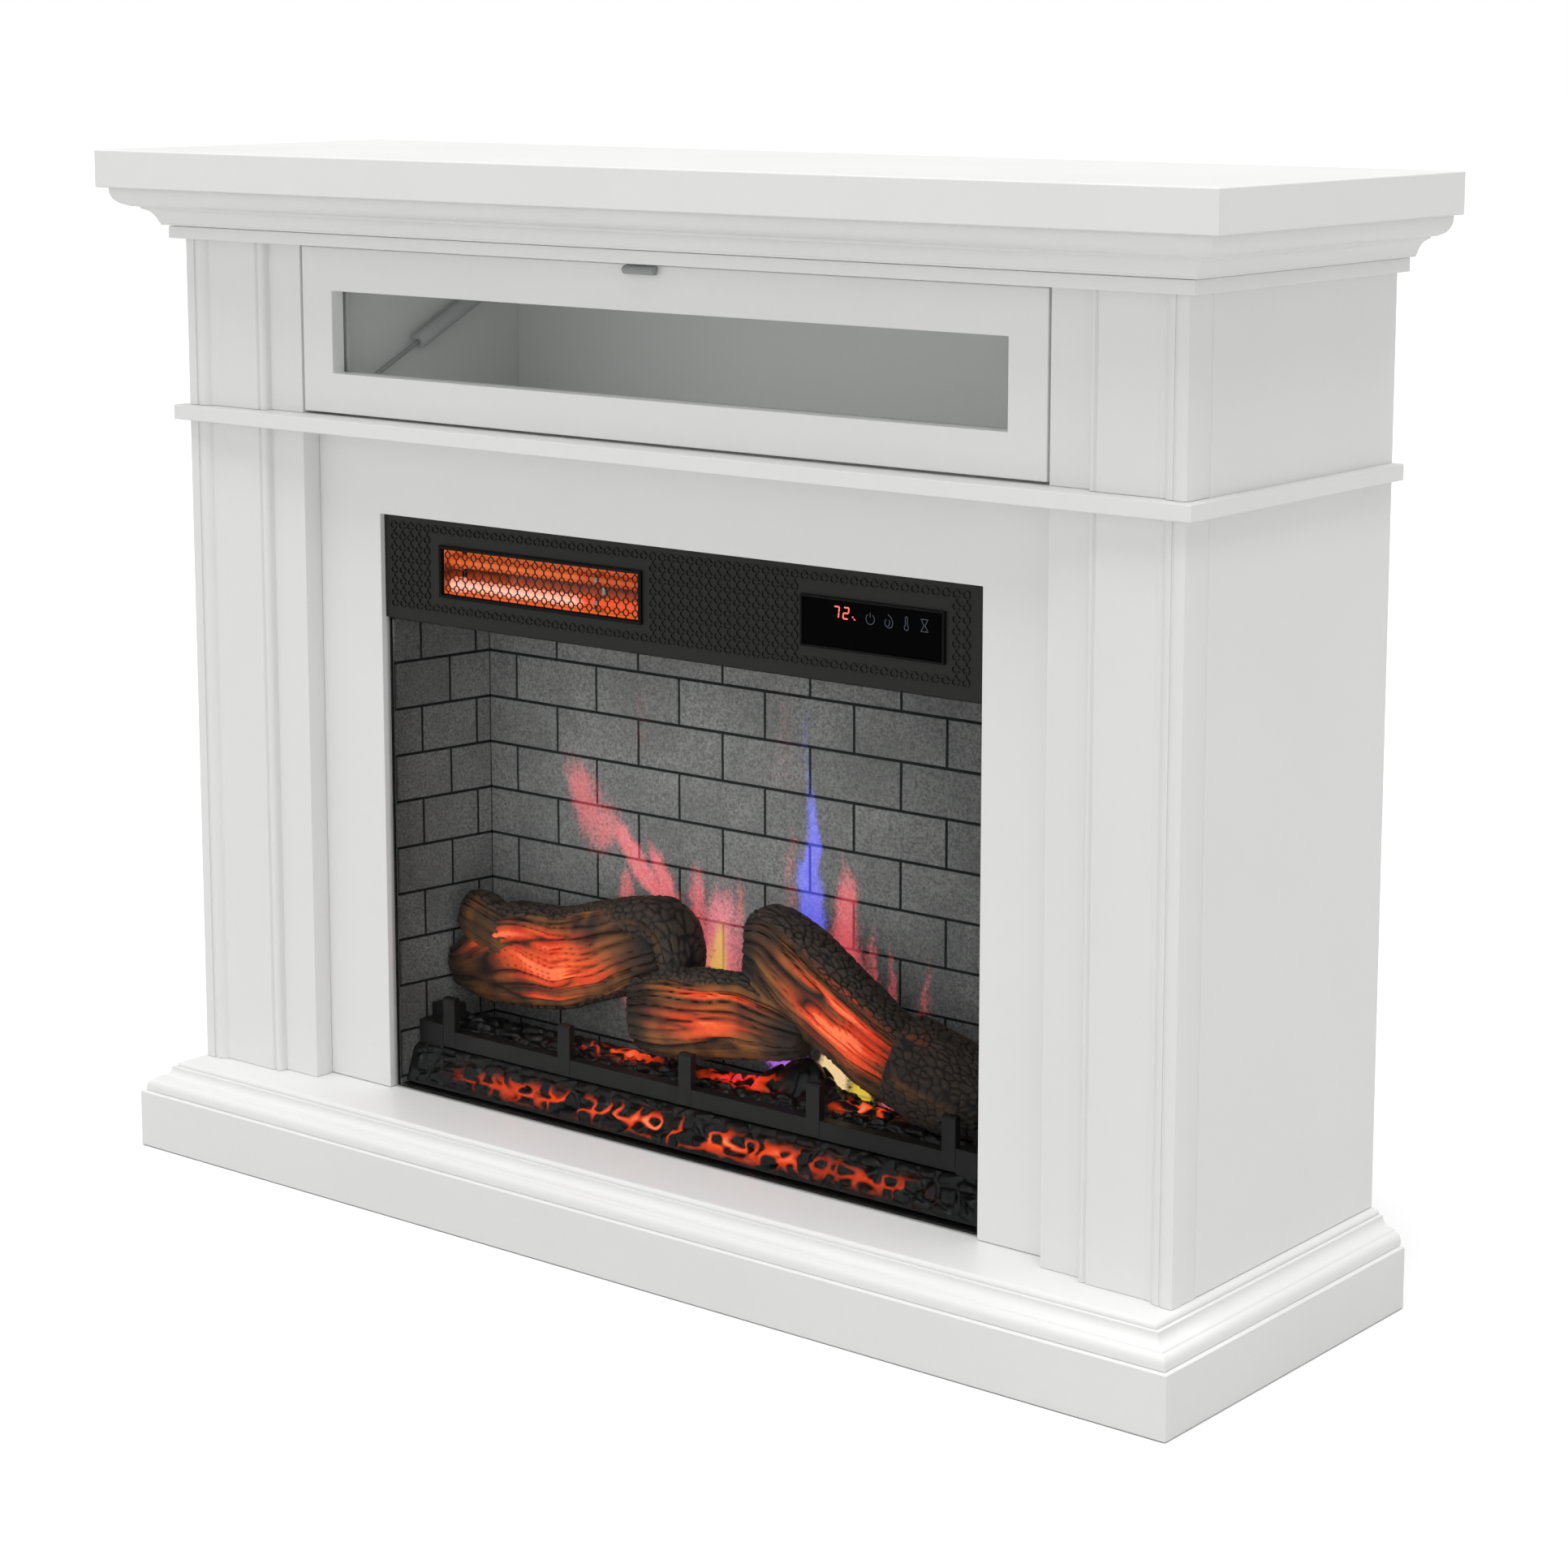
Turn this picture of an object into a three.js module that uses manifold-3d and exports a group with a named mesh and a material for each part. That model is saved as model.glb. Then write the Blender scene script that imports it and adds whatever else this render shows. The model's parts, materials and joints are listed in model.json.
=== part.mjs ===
// Free-standing electric fireplace: a painted mantel with a drop-down glass door over a media
// compartment, and an infrared firebox insert below it.
//
// Millimetres, +Z up, the room side faces -Y, the origin is on the floor under the middle of the mantel.

import * as THREE from "three";
import { mergeVertices } from "three/addons/utils/BufferGeometryUtils.js";
import Module from "manifold-3d";

const wasm = await Module();
wasm.setup();

// ---------------------------------------------------------------------------------------------
// Driving dimensions
// ---------------------------------------------------------------------------------------------

const GAP = 0.3;                        // clearance between two boards that meet
const SIDES = [["left", -1], ["right", 1]];

// Mantel
const WIDTH = 1067;
const DEPTH = 324;
const HEIGHT = 834;
const TOP_THICK = 30.5;
const OVERHANG = 51.5;                  // top board beyond the body, at each side
const FRONT_OVERHANG = 50.4;            // top board beyond the pilasters, at the front
const BOARD = 12;                       // panels of the case
const BACK_BOARD = 4.7;

const HALF_WIDTH = WIDTH / 2;
const BACK = DEPTH / 2;
const FRONT = -DEPTH / 2;
const BODY_HALF = HALF_WIDTH - OVERHANG;
const BODY_FRONT = FRONT + FRONT_OVERHANG;
const BODY_INNER = BODY_HALF - BOARD - GAP;
const TOP_UNDERSIDE = HEIGHT - TOP_THICK;

// Heights of the layers, from the floor up
const PLINTH_TOP = 47.2;
const BASE_MOULD_TOP = 67.4;
const HEARTH_TOP = 71.2;
const OPENING_TOP = 547.4;
const LEDGE_BOTTOM = 613.6;
const LEDGE_TOP = 625.6;
const APRON_BOTTOM = 762;
const CROWN_BOTTOM = 772.8;

// Base: everything below the hearth stands out further at the front than at the sides
const PLINTH_REACH = 28.5;              // plinth beyond the body, at each side
const HEARTH_REACH = 5.9;
const BASE_FRONT = FRONT + PLINTH_REACH;
const PLINTH_BOARD = 16;
const LEDGE_REACH = 9.6;

// Pilasters, measured from the centre line outwards and back from their front face
const PILASTER_INNER = 363.7;
const STRIP_OUTER = 399.4;
const FIELD_INNER = 407.6;
const FIELD_OUTER = 455.6;
const STRIP_FACE = -97.5;
const FIELD_FACE = -105.5;
const PILASTER_BACK = -79.9;
const RABBET_BACK = -82.9;

// Lower front panel and the opening for the insert
const SURROUND_FACE = PILASTER_BACK + GAP;
const OPENING_HALF = 296.2;

// Drop-down door, in a frame whose origin is on the pivot axis
const DOOR_AXIS_Y = -92.5;
const DOOR_AXIS_Z = 635.7;
const DOOR_HALF = 361.3;
const DOOR_FRONT = STRIP_FACE - DOOR_AXIS_Y;
const DOOR_THICK = 18;
const DOOR_BACK = DOOR_FRONT + DOOR_THICK;
const DOOR_BOTTOM = -8;
const DOOR_TOP = 124;
const WINDOW_HALF = 328.3;
const WINDOW_BOTTOM = 24;
const WINDOW_TOP = 89.4;
const RABBET_LAP = 7.5;                 // how far the glass reaches behind the door frame
const RABBET_DEPTH = 4.6;
const GLASS_THICK = 3;
const PIVOT_RADIUS = 2;
const PIVOT_HOLE = 2.35;
const PIVOT_INSERTION = 10;

// Flap stays: a damper between the compartment wall and the foot of the door
const STAY_X = 352;
const STAY_ANCHOR = [117.6, 720.2];     // [y, z] of the pivot on the compartment wall
const STAY_DOOR_END = [-62, 634.5];     // [y, z] of the pivot on the closed door
const STAY_RADIUS = 6.75;
const STAY_BODY_END = 104.8;            // distance from the anchor pivot to the open end
const ROD_RADIUS = 2;
const EYE_THICK = 4;
const EYE_RADIUS = 5;
const STUD_RADIUS = 1.9;
const EYE_HOLE = 2.2;

// Insert, in a frame whose origin is at the foot of the opening, on the insert's front face
const INSERT_FACE = -75.1;
const INSERT_BASE = HEARTH_TOP + GAP;
const INSERT_HALF = 295.5;
const INSERT_HEIGHT = 475.3;
const HOUSING_FRONT = 3.6;
const HOUSING_BACK = 193;
const SHEET = 1.5;
const PARTITION = 390.5;                // underside of the shelf between firebox and heater
const HEADER_BOTTOM = 392;
const FIREBOX_BACK = 98;
const FIREBOX_BACK_HALF = 274.5;
const FIREBOX_FRONT_HALF = 291.3;
const LINER = 2.4;

const HEATER_WINDOW = { x0: -234.5, x1: -22.4, z0: 414.1, z1: 455.9 };
const DISPLAY = { x0: 131, x1: 261.5, z0: 415.7, z1: 454.2 };

const GRATE = { half: 284, y0: 20.5, y1: 31.2, z0: 35.7, z1: 50.1, top: 77.5, post: 12.8 };
const POST_PITCH = 126.2;

// ---------------------------------------------------------------------------------------------
// Finishes
// ---------------------------------------------------------------------------------------------

const finish = (color, roughness, metalness = 0) =>
  new THREE.MeshStandardMaterial({ color, roughness, metalness });

const whitePaint = () => finish(0xf1f1f0, 0.45);
const blackSteel = () => finish(0x1d1d1c, 0.5, 0.3);
const greyPaint = () => finish(0x7d7f80, 0.5, 0.2);
const brightSteel = () => finish(0xb9babb, 0.3, 1);
const clearGlass = () => {
  const glass = finish(0xdfe8e6, 0.05);
  glass.transparent = true;
  glass.opacity = 0.25;
  return glass;
};
const printedBrick = () => finish(0x5a5c5f, 0.8);
const barkResin = () => finish(0x3b2a1e, 0.9);
const emberResin = () => finish(0x262422, 0.8);
const glowingQuartz = () => finish(0xff7a2a, 0.3);
const aluminium = () => finish(0xd0d2d3, 0.25, 1);
const greenBoard = () => finish(0x2c5b3a, 0.6);
const blackPlastic = () => finish(0x151515, 0.4);
const greyPlastic = () => finish(0x8a8c8d, 0.5);

// ---------------------------------------------------------------------------------------------
// Shapes
// ---------------------------------------------------------------------------------------------

function named(name, geometry, material) {
  const mesh = new THREE.Mesh(geometry, material);
  mesh.name = name;
  return mesh;
}

/** A rectangular board between two corners, its mesh placed at its middle. */
function board(name, material, x0, x1, y0, y1, z0, z1) {
  const mesh = named(name, new THREE.BoxGeometry(x1 - x0, y1 - y0, z1 - z0), material);
  mesh.position.set((x0 + x1) / 2, (y0 + y1) / 2, (z0 + z1) / 2);
  return mesh;
}

const polygon = (points) => new THREE.Shape(points.map(([a, b]) => new THREE.Vector2(a, b)));

const rectangle = (a0, a1, b0, b1) => polygon([[a0, b0], [a1, b0], [a1, b1], [a0, b1]]);

function withHoles(shape, ...holes) {
  shape.holes.push(...holes);
  return shape;
}

function circle(a, b, radius) {
  const shape = new THREE.Shape();
  shape.absarc(a, b, radius, 0, 2 * Math.PI);
  return shape;
}

function extrude(shape, length, curveSegments = 6) {
  return new THREE.ExtrudeGeometry(shape, { depth: length, bevelEnabled: false, curveSegments });
}

const ALONG_X = new THREE.Matrix4().makeBasis(
  new THREE.Vector3(0, 1, 0), new THREE.Vector3(0, 0, 1), new THREE.Vector3(1, 0, 0));
const ALONG_Y = new THREE.Matrix4().makeBasis(
  new THREE.Vector3(1, 0, 0), new THREE.Vector3(0, 0, 1), new THREE.Vector3(0, -1, 0));

/** A (y, z) outline carried along X. */
const prismX = (shape, x0, x1, segments) =>
  extrude(shape, x1 - x0, segments).applyMatrix4(ALONG_X).translate(x0, 0, 0);

/** An (x, z) outline carried along Y. */
const prismY = (shape, y0, y1, segments) =>
  extrude(shape, y1 - y0, segments).applyMatrix4(ALONG_Y).translate(0, y1, 0);

/** An (x, y) outline carried along Z. */
const prismZ = (shape, z0, z1, segments) => extrude(shape, z1 - z0, segments).translate(0, 0, z0);

/** A round bar along X, centred on (y, z). */
const barX = (radius, x0, x1, y, z, sides = 16) =>
  new THREE.CylinderGeometry(radius, radius, x1 - x0, sides)
    .rotateZ(Math.PI / 2)
    .translate((x0 + x1) / 2, y, z);

/** A (radius, length) profile turned about the Y axis, run in the direction that faces it outwards. */
function turnedY(profile, sides = 20) {
  const points = profile.map(([r, y]) => new THREE.Vector2(r, y));
  const outwards = THREE.ShapeUtils.area(points) > 0;
  return new THREE.LatheGeometry(outwards ? points : points.reverse(), sides);
}

/** A (radius, length) profile turned about the X axis through (y, z). */
const turnedX = (profile, y, z, sides = 16) =>
  turnedY(profile.map(([r, x]) => [r, -x]), sides)
    .rotateZ(Math.PI / 2)
    .translate(0, y, z);

function toSolid(geometry) {
  const bare = geometry.clone();
  bare.deleteAttribute("normal");
  bare.deleteAttribute("uv");
  const merged = mergeVertices(bare, 1e-4);
  return new wasm.Manifold(new wasm.Mesh({
    numProp: 3,
    vertProperties: new Float32Array(merged.attributes.position.array),
    triVerts: new Uint32Array(merged.index.array),
  }));
}

function toGeometry(solid) {
  const mesh = solid.getMesh();
  const geometry = new THREE.BufferGeometry();
  geometry.setAttribute("position", new THREE.BufferAttribute(mesh.vertProperties, 3));
  geometry.setIndex(new THREE.BufferAttribute(mesh.triVerts, 1));
  geometry.computeVertexNormals();
  return geometry;
}

const union = (...parts) => toGeometry(parts.map(toSolid).reduce((a, b) => a.add(b)));

const cut = (body, ...tools) =>
  toGeometry(tools.map(toSolid).reduce((a, b) => a.subtract(b), toSolid(body)));

/**
 * A moulding round three sides of the body, with mitred corners. The section's first coordinate is
 * its reach beyond the rectangle of half width `half` whose front is `front`, the second its height.
 */
function mitredMoulding(section, half, front, curveSegments = 6) {
  const geometry = new THREE.ExtrudeGeometry(section, {
    depth: 3, steps: 3, bevelEnabled: false, curveSegments,
  });
  const corners = [
    (reach) => [half + reach, BACK],
    (reach) => [half + reach, front - reach],
    (reach) => [-half - reach, front - reach],
    (reach) => [-half - reach, BACK],
  ];
  const position = geometry.attributes.position;
  for (let i = 0; i < position.count; i += 1) {
    const reach = position.getX(i);
    const height = position.getY(i);
    const [x, y] = corners[Math.round(position.getZ(i))](reach);
    position.setXYZ(i, x, y, height);
  }
  return geometry;
}

// ---------------------------------------------------------------------------------------------
// Mantel
// ---------------------------------------------------------------------------------------------

/** Ovolo above a cove, with a fillet between them. */
function crownSection() {
  const section = new THREE.Shape();
  section.moveTo(GAP, CROWN_BOTTOM);
  section.lineTo(14.1, CROWN_BOTTOM);
  section.lineTo(14.1, CROWN_BOTTOM + 1.7);
  section.quadraticCurveTo(18.9, CROWN_BOTTOM + 10.6, 25.3, CROWN_BOTTOM + 13.4);
  section.lineTo(31.2, CROWN_BOTTOM + 15.4);
  section.quadraticCurveTo(41.8, CROWN_BOTTOM + 21.6, 43.1, CROWN_BOTTOM + 28.6);
  section.lineTo(43.1, TOP_UNDERSIDE - GAP);
  section.lineTo(GAP, TOP_UNDERSIDE - GAP);
  return section;
}

/** Cove above an ovolo, which brings the hearth's edge out to the plinth. */
function baseMouldSection() {
  const section = new THREE.Shape();
  const inner = HEARTH_REACH + GAP;
  section.moveTo(inner, PLINTH_TOP + GAP);
  section.lineTo(24.6, PLINTH_TOP + GAP);
  section.quadraticCurveTo(25.2, 55.6, 20, 57.5);
  section.lineTo(16.8, 58.9);
  section.quadraticCurveTo(10.4, 60.8, 9.5, 66);
  section.lineTo(9.5, BASE_MOULD_TOP);
  section.lineTo(inner, BASE_MOULD_TOP);
  return section;
}

/** Half of a pilaster's plan: a recessed field between a beaded strip and an outer fillet. */
function pilasterSection(side) {
  const bead = 4.5;
  const grooveFloor = FIELD_FACE + 2.2;
  const roundEnd = 470.6;               // where the big round meets the outer fillet
  const roundRadius = 11;
  const fillet = BODY_HALF - 8.8;
  const notch = BODY_FRONT + 1.4;
  const right = [
    [PILASTER_INNER, PILASTER_BACK],
    [PILASTER_INNER, STRIP_FACE],
    [STRIP_OUTER, STRIP_FACE],
    ...arcPoints(STRIP_OUTER + bead, FIELD_FACE + bead, bead, Math.PI, 1.5 * Math.PI, 5),
    [FIELD_INNER - 2.4, grooveFloor],
    [FIELD_INNER - 1, grooveFloor],
    [FIELD_INNER, FIELD_FACE],
    [FIELD_OUTER, FIELD_FACE],
    [FIELD_OUTER + 3, FIELD_FACE - 0.8],
    ...arcPoints(roundEnd, BODY_FRONT + 0.6 + roundRadius, roundRadius,
      1.18 * Math.PI, 1.5 * Math.PI, 5),
    [roundEnd, notch],
    [fillet, notch],
    [fillet, BODY_FRONT],
    [BODY_HALF, BODY_FRONT],
    [BODY_HALF, RABBET_BACK],
    [BODY_INNER, RABBET_BACK],
    [BODY_INNER, PILASTER_BACK],
  ];
  return polygon(right.map(([x, y]) => [side * x, y]));
}

function arcPoints(a, b, radius, from, to, count) {
  const points = [];
  for (let i = 0; i <= count; i += 1) {
    const angle = from + ((to - from) * i) / count;
    points.push([a + radius * Math.cos(angle), b + radius * Math.sin(angle)]);
  }
  return points;
}

function makeTop() {
  const topBoard = board("top_board", whitePaint(),
    -HALF_WIDTH, HALF_WIDTH, FRONT, BACK, TOP_UNDERSIDE, HEIGHT);
  const crown = mitredMoulding(crownSection(), BODY_HALF, BODY_FRONT);
  const friezeSection = rectangle(GAP, LEDGE_REACH, APRON_BOTTOM, CROWN_BOTTOM - 0.7);
  const frieze = mitredMoulding(friezeSection, BODY_HALF, BODY_FRONT);
  const apron = prismZ(polygon([
    [-BODY_HALF, BODY_FRONT], [BODY_HALF, BODY_FRONT], [BODY_HALF, RABBET_BACK],
    [-BODY_HALF, RABBET_BACK],
  ]), APRON_BOTTOM, TOP_UNDERSIDE - GAP);
  return [
    topBoard,
    named("crown_moulding", crown, whitePaint()),
    named("frieze_strip", frieze, whitePaint()),
    named("apron_rail", apron, whitePaint()),
  ];
}

/** Four pilasters; the upper ones carry the blind holes that the door turns in. */
function makePilasters() {
  const meshes = [];
  for (const [sideName, side] of SIDES) {
    const lower = prismZ(pilasterSection(side), HEARTH_TOP + GAP, LEDGE_BOTTOM - GAP);
    const upper = prismZ(pilasterSection(side), LEDGE_TOP + GAP, APRON_BOTTOM - GAP);
    const depth = PIVOT_INSERTION;
    const inner = side * (PILASTER_INNER - 1);
    const outer = side * (PILASTER_INNER + depth);
    const hole = barX(PIVOT_HOLE, Math.min(inner, outer), Math.max(inner, outer),
      DOOR_AXIS_Y, DOOR_AXIS_Z);
    meshes.push(named(`lower_${sideName}_pilaster`, lower, whitePaint()));
    meshes.push(named(`upper_${sideName}_pilaster`, cut(upper, hole), whitePaint()));
  }
  return meshes;
}

function makeCase() {
  const meshes = [];
  for (const [sideName, side] of SIDES) {
    const ordered = (a, b) => [Math.min(side * a, side * b), Math.max(side * a, side * b)];
    meshes.push(board(`${sideName}_side_panel`, whitePaint(),
      ...ordered(BODY_HALF - BOARD, BODY_HALF), RABBET_BACK + GAP, BACK,
      HEARTH_TOP + GAP, TOP_UNDERSIDE - GAP));
    meshes.push(board(`${sideName}_compartment_wall`, whitePaint(),
      ...ordered(PILASTER_INNER, PILASTER_INNER + BOARD), SURROUND_FACE, BACK - BACK_BOARD - 2 * GAP,
      LEDGE_TOP + GAP, TOP_UNDERSIDE - GAP));
  }

  const surround = polygon([
    [-BODY_INNER, HEARTH_TOP + GAP], [-OPENING_HALF, HEARTH_TOP + GAP],
    [-OPENING_HALF, OPENING_TOP], [OPENING_HALF, OPENING_TOP],
    [OPENING_HALF, HEARTH_TOP + GAP], [BODY_INNER, HEARTH_TOP + GAP],
    [BODY_INNER, LEDGE_BOTTOM - GAP], [-BODY_INNER, LEDGE_BOTTOM - GAP],
  ]);
  meshes.push(named("surround_panel",
    prismY(surround, SURROUND_FACE, SURROUND_FACE + BOARD), whitePaint()));

  const floorFront = -66.7;
  meshes.push(board("compartment_floor", whitePaint(), -BODY_INNER, BODY_INNER,
    floorFront, BACK - BACK_BOARD - 2 * GAP, LEDGE_BOTTOM, LEDGE_TOP));
  meshes.push(named("mid_ledge",
    prismZ(ledgePlan(floorFront - GAP), LEDGE_BOTTOM, LEDGE_TOP), whitePaint()));

  const cableX = 250;
  const cableHole = circle(cableX, LEDGE_TOP + 29.4, 25);
  const backOutline = rectangle(-BODY_INNER, BODY_INNER, LEDGE_BOTTOM, TOP_UNDERSIDE - GAP);
  meshes.push(named("compartment_back",
    prismY(withHoles(backOutline, cableHole), BACK - BACK_BOARD - GAP, BACK - GAP), whitePaint()));
  const braceBottom = 545;
  meshes.push(board("rear_brace", whitePaint(), -BODY_INNER, BODY_INNER,
    BACK - GAP - BOARD, BACK - GAP, braceBottom, LEDGE_BOTTOM - GAP));
  return meshes;
}

/** The ledge runs between the pilasters and turns back along both sides of the body. */
function ledgePlan(boardBack) {
  const outer = BODY_HALF + LEDGE_REACH;
  const front = BODY_FRONT - LEDGE_REACH;
  const arm = BODY_HALF + GAP;
  const half = [
    [outer, front], [outer, BACK], [arm, BACK], [arm, RABBET_BACK],
    [BODY_INNER, RABBET_BACK], [BODY_INNER, boardBack],
  ];
  const mirrored = half.map(([x, y]) => [-x, y]).reverse();
  return polygon([...half, ...mirrored]);
}

function makeBase() {
  const plinthHalf = BODY_HALF + PLINTH_REACH;
  const plinth = rectangle(-plinthHalf, plinthHalf, FRONT, BACK);
  const inside = rectangle(-plinthHalf + PLINTH_BOARD, plinthHalf - PLINTH_BOARD,
    FRONT + PLINTH_BOARD, BACK - PLINTH_BOARD);
  const moulding = mitredMoulding(baseMouldSection(), BODY_HALF, BASE_FRONT);

  // The hearth's upper edge is rounded over; the board itself is built up from a core and that edge
  const inset = 30;
  const edge = new THREE.Shape();
  edge.moveTo(-inset - 10, PLINTH_TOP + GAP);
  edge.lineTo(HEARTH_REACH, PLINTH_TOP + GAP);
  edge.lineTo(HEARTH_REACH, HEARTH_TOP - 3);
  edge.quadraticCurveTo(HEARTH_REACH, HEARTH_TOP, HEARTH_REACH - 5, HEARTH_TOP);
  edge.lineTo(-inset - 10, HEARTH_TOP);
  const core = new THREE.BoxGeometry(2 * (BODY_HALF - inset), BACK - BASE_FRONT - inset,
    HEARTH_TOP - PLINTH_TOP - GAP)
    .translate(0, (BACK + BASE_FRONT + inset) / 2, (HEARTH_TOP + PLINTH_TOP + GAP) / 2);
  const hearth = union(core, mitredMoulding(edge, BODY_HALF, BASE_FRONT));
  return [
    named("plinth", prismZ(withHoles(plinth, inside), 0, PLINTH_TOP), whitePaint()),
    named("base_moulding", moulding, whitePaint()),
    named("hearth_board", hearth, whitePaint()),
  ];
}

// ---------------------------------------------------------------------------------------------
// Door, its pivots, pull, catch and stays
// ---------------------------------------------------------------------------------------------

function makeDoor() {
  const door = new THREE.Group();
  door.position.set(0, DOOR_AXIS_Y, DOOR_AXIS_Z);

  const window = rectangle(-WINDOW_HALF, WINDOW_HALF, WINDOW_BOTTOM, WINDOW_TOP);
  const rabbetHalf = WINDOW_HALF + RABBET_LAP;
  const rabbetBottom = WINDOW_BOTTOM - RABBET_LAP;
  const rabbetTop = WINDOW_TOP + RABBET_LAP;
  const rabbet = rectangle(-rabbetHalf, rabbetHalf, rabbetBottom, rabbetTop);
  const slab = prismY(withHoles(
    rectangle(-DOOR_HALF, DOOR_HALF, DOOR_BOTTOM, DOOR_TOP), window), DOOR_FRONT, DOOR_BACK);
  const rabbetTool = prismY(rabbet, DOOR_BACK - RABBET_DEPTH, DOOR_BACK + 1);
  const pinHoles = SIDES.map(([, side]) => {
    const outer = side * (DOOR_HALF + 1);
    const inner = side * (DOOR_HALF - PIVOT_INSERTION - GAP);
    return barX(PIVOT_HOLE, Math.min(inner, outer), Math.max(inner, outer), 0, 0);
  });
  door.add(named("door_frame", cut(slab, rabbetTool, ...pinHoles), whitePaint()));

  const glassFront = DOOR_BACK - RABBET_DEPTH + GAP;
  const glassBack = glassFront + GLASS_THICK;
  door.add(board("door_glass", clearGlass(), -rabbetHalf + GAP, rabbetHalf - GAP,
    glassFront, glassBack, rabbetBottom + GAP, rabbetTop - GAP));

  const beadOutline = rectangle(-rabbetHalf + GAP, rabbetHalf - GAP,
    rabbetBottom + GAP, rabbetTop - GAP);
  const beadWindow = rectangle(-WINDOW_HALF, WINDOW_HALF, WINDOW_BOTTOM, WINDOW_TOP);
  door.add(named("glass_bead", prismY(withHoles(beadOutline, beadWindow),
    glassBack + GAP, glassBack + GAP + 2), whitePaint()));

  for (const [sideName, side] of SIDES) {
    const outer = side * (PILASTER_INNER + PIVOT_INSERTION - 1);
    const inner = side * (DOOR_HALF - PIVOT_INSERTION);
    door.add(named(`${sideName}_pivot_pin`, barX(PIVOT_RADIUS,
      Math.min(inner, outer), Math.max(inner, outer), 0, 0), brightSteel()));
    door.add(named(`${sideName}_stay_bracket`, stayBracket(side), greyPaint()));
  }

  // A round pull on a thin plate that hooks over the door's top edge
  const pullHalf = 15.3;
  const pullRadius = 3.3;
  const plate = polygon([
    [DOOR_FRONT - GAP, DOOR_TOP - 7], [DOOR_FRONT - GAP, DOOR_TOP + GAP],
    [6, DOOR_TOP + GAP], [6, DOOR_TOP + 1.2], [DOOR_FRONT - 2, DOOR_TOP + 1.2],
    [DOOR_FRONT - 2, DOOR_TOP - 7],
  ]);
  const bar = barX(pullRadius, -pullHalf, pullHalf, DOOR_FRONT - pullRadius - 1, DOOR_TOP - 3.6);
  door.add(named("door_pull", union(prismX(plate, -pullHalf, pullHalf - 2), bar), greyPaint()));
  return door;
}

/** An angle bracket on the back of the door, with a short stud beside the stay's eye. */
function stayBracket(side) {
  const [y, z] = [STAY_DOOR_END[0] - DOOR_AXIS_Y, STAY_DOOR_END[1] - DOOR_AXIS_Z];
  const plate = 1.5;
  const footInner = STAY_X - 11;
  const earX = STAY_X + EYE_THICK / 2 + 2;
  const back = DOOR_BACK + GAP;
  const foot = new THREE.BoxGeometry(earX + plate - footInner, plate, 22)
    .translate(side * (earX + plate + footInner) / 2, back + plate / 2, z + 6);
  const ear = new THREE.BoxGeometry(plate, y + EYE_RADIUS - back, 14)
    .translate(side * (earX + plate / 2), (y + EYE_RADIUS + back) / 2, z + 2);
  const studInner = side * (earX - 1.4);
  const studOuter = side * (earX + plate / 2);
  const stud = barX(STUD_RADIUS, Math.min(studInner, studOuter), Math.max(studInner, studOuter), y, z);
  return union(foot, ear, stud);
}

/** One stay: its own frame has the anchor pivot at the origin and runs along -Y to the door. */
function makeStay(sideName, side) {
  const [dy, dz] = [STAY_DOOR_END[0] - STAY_ANCHOR[0], STAY_DOOR_END[1] - STAY_ANCHOR[1]];
  const reach = Math.hypot(dy, dz);
  const stay = new THREE.Group();
  stay.position.set(side * STAY_X, ...STAY_ANCHOR);
  stay.rotation.x = Math.atan2(-dz, -dy);

  const eyeAt = (distance, length) => {
    const eye = new THREE.Shape();
    const half = EYE_RADIUS - 1;
    eye.absarc(-distance, 0, EYE_RADIUS, 0.3 * Math.PI, 1.7 * Math.PI, false);
    eye.lineTo(-distance + length, -half);
    eye.lineTo(-distance + length, half);
    return prismX(withHoles(eye, circle(-distance, 0, EYE_HOLE)), -EYE_THICK / 2, EYE_THICK / 2);
  };
  const neck = 12;                      // from an eye's centre to the end of its flat tail
  const anchorEye = eyeAt(0, neck).rotateZ(Math.PI);
  const groove = 88;                    // a crimped ring holds the damper's seal
  const boreRadius = ROD_RADIUS + 0.4;
  const boreEnd = 30;
  const tube = turnedY([
    [0, 2 - neck], [STAY_RADIUS - 1, 2 - neck], [STAY_RADIUS, 1 - neck], [STAY_RADIUS, -groove],
    [STAY_RADIUS - 0.5, -groove - 0.4], [STAY_RADIUS - 0.5, -groove - 1.2],
    [STAY_RADIUS, -groove - 1.6], [STAY_RADIUS, -STAY_BODY_END], [boreRadius, -STAY_BODY_END],
    [boreRadius, -boreEnd], [0, -boreEnd],
  ]);
  stay.add(named(`${sideName}_stay_cylinder`, union(tube, anchorEye), greyPaint()));

  const rodStart = 45;
  const rodEnd = reach - neck + 3;
  const rod = new THREE.CylinderGeometry(ROD_RADIUS, ROD_RADIUS, rodEnd - rodStart, 12)
    .translate(0, -(rodEnd + rodStart) / 2, 0);
  stay.add(named(`${sideName}_stay_rod`, union(rod, eyeAt(reach, neck)), brightSteel()));
  return stay;
}

/** The plate and stud on the compartment wall that a stay turns on. */
function makeStayAnchor(sideName, side) {
  const wall = PILASTER_INNER - GAP;
  const [y, z] = STAY_ANCHOR;
  const thick = 1.8;
  const plate = new THREE.BoxGeometry(thick, 24, 34).translate(side * (wall - thick / 2), y, z);
  const ends = [side * (wall - thick / 2), side * (STAY_X - EYE_THICK / 2 - 0.8)];
  const stud = barX(STUD_RADIUS, Math.min(...ends), Math.max(...ends), y, z);
  return named(`${sideName}_stay_anchor`, union(plate, stud), greyPaint());
}

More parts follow.
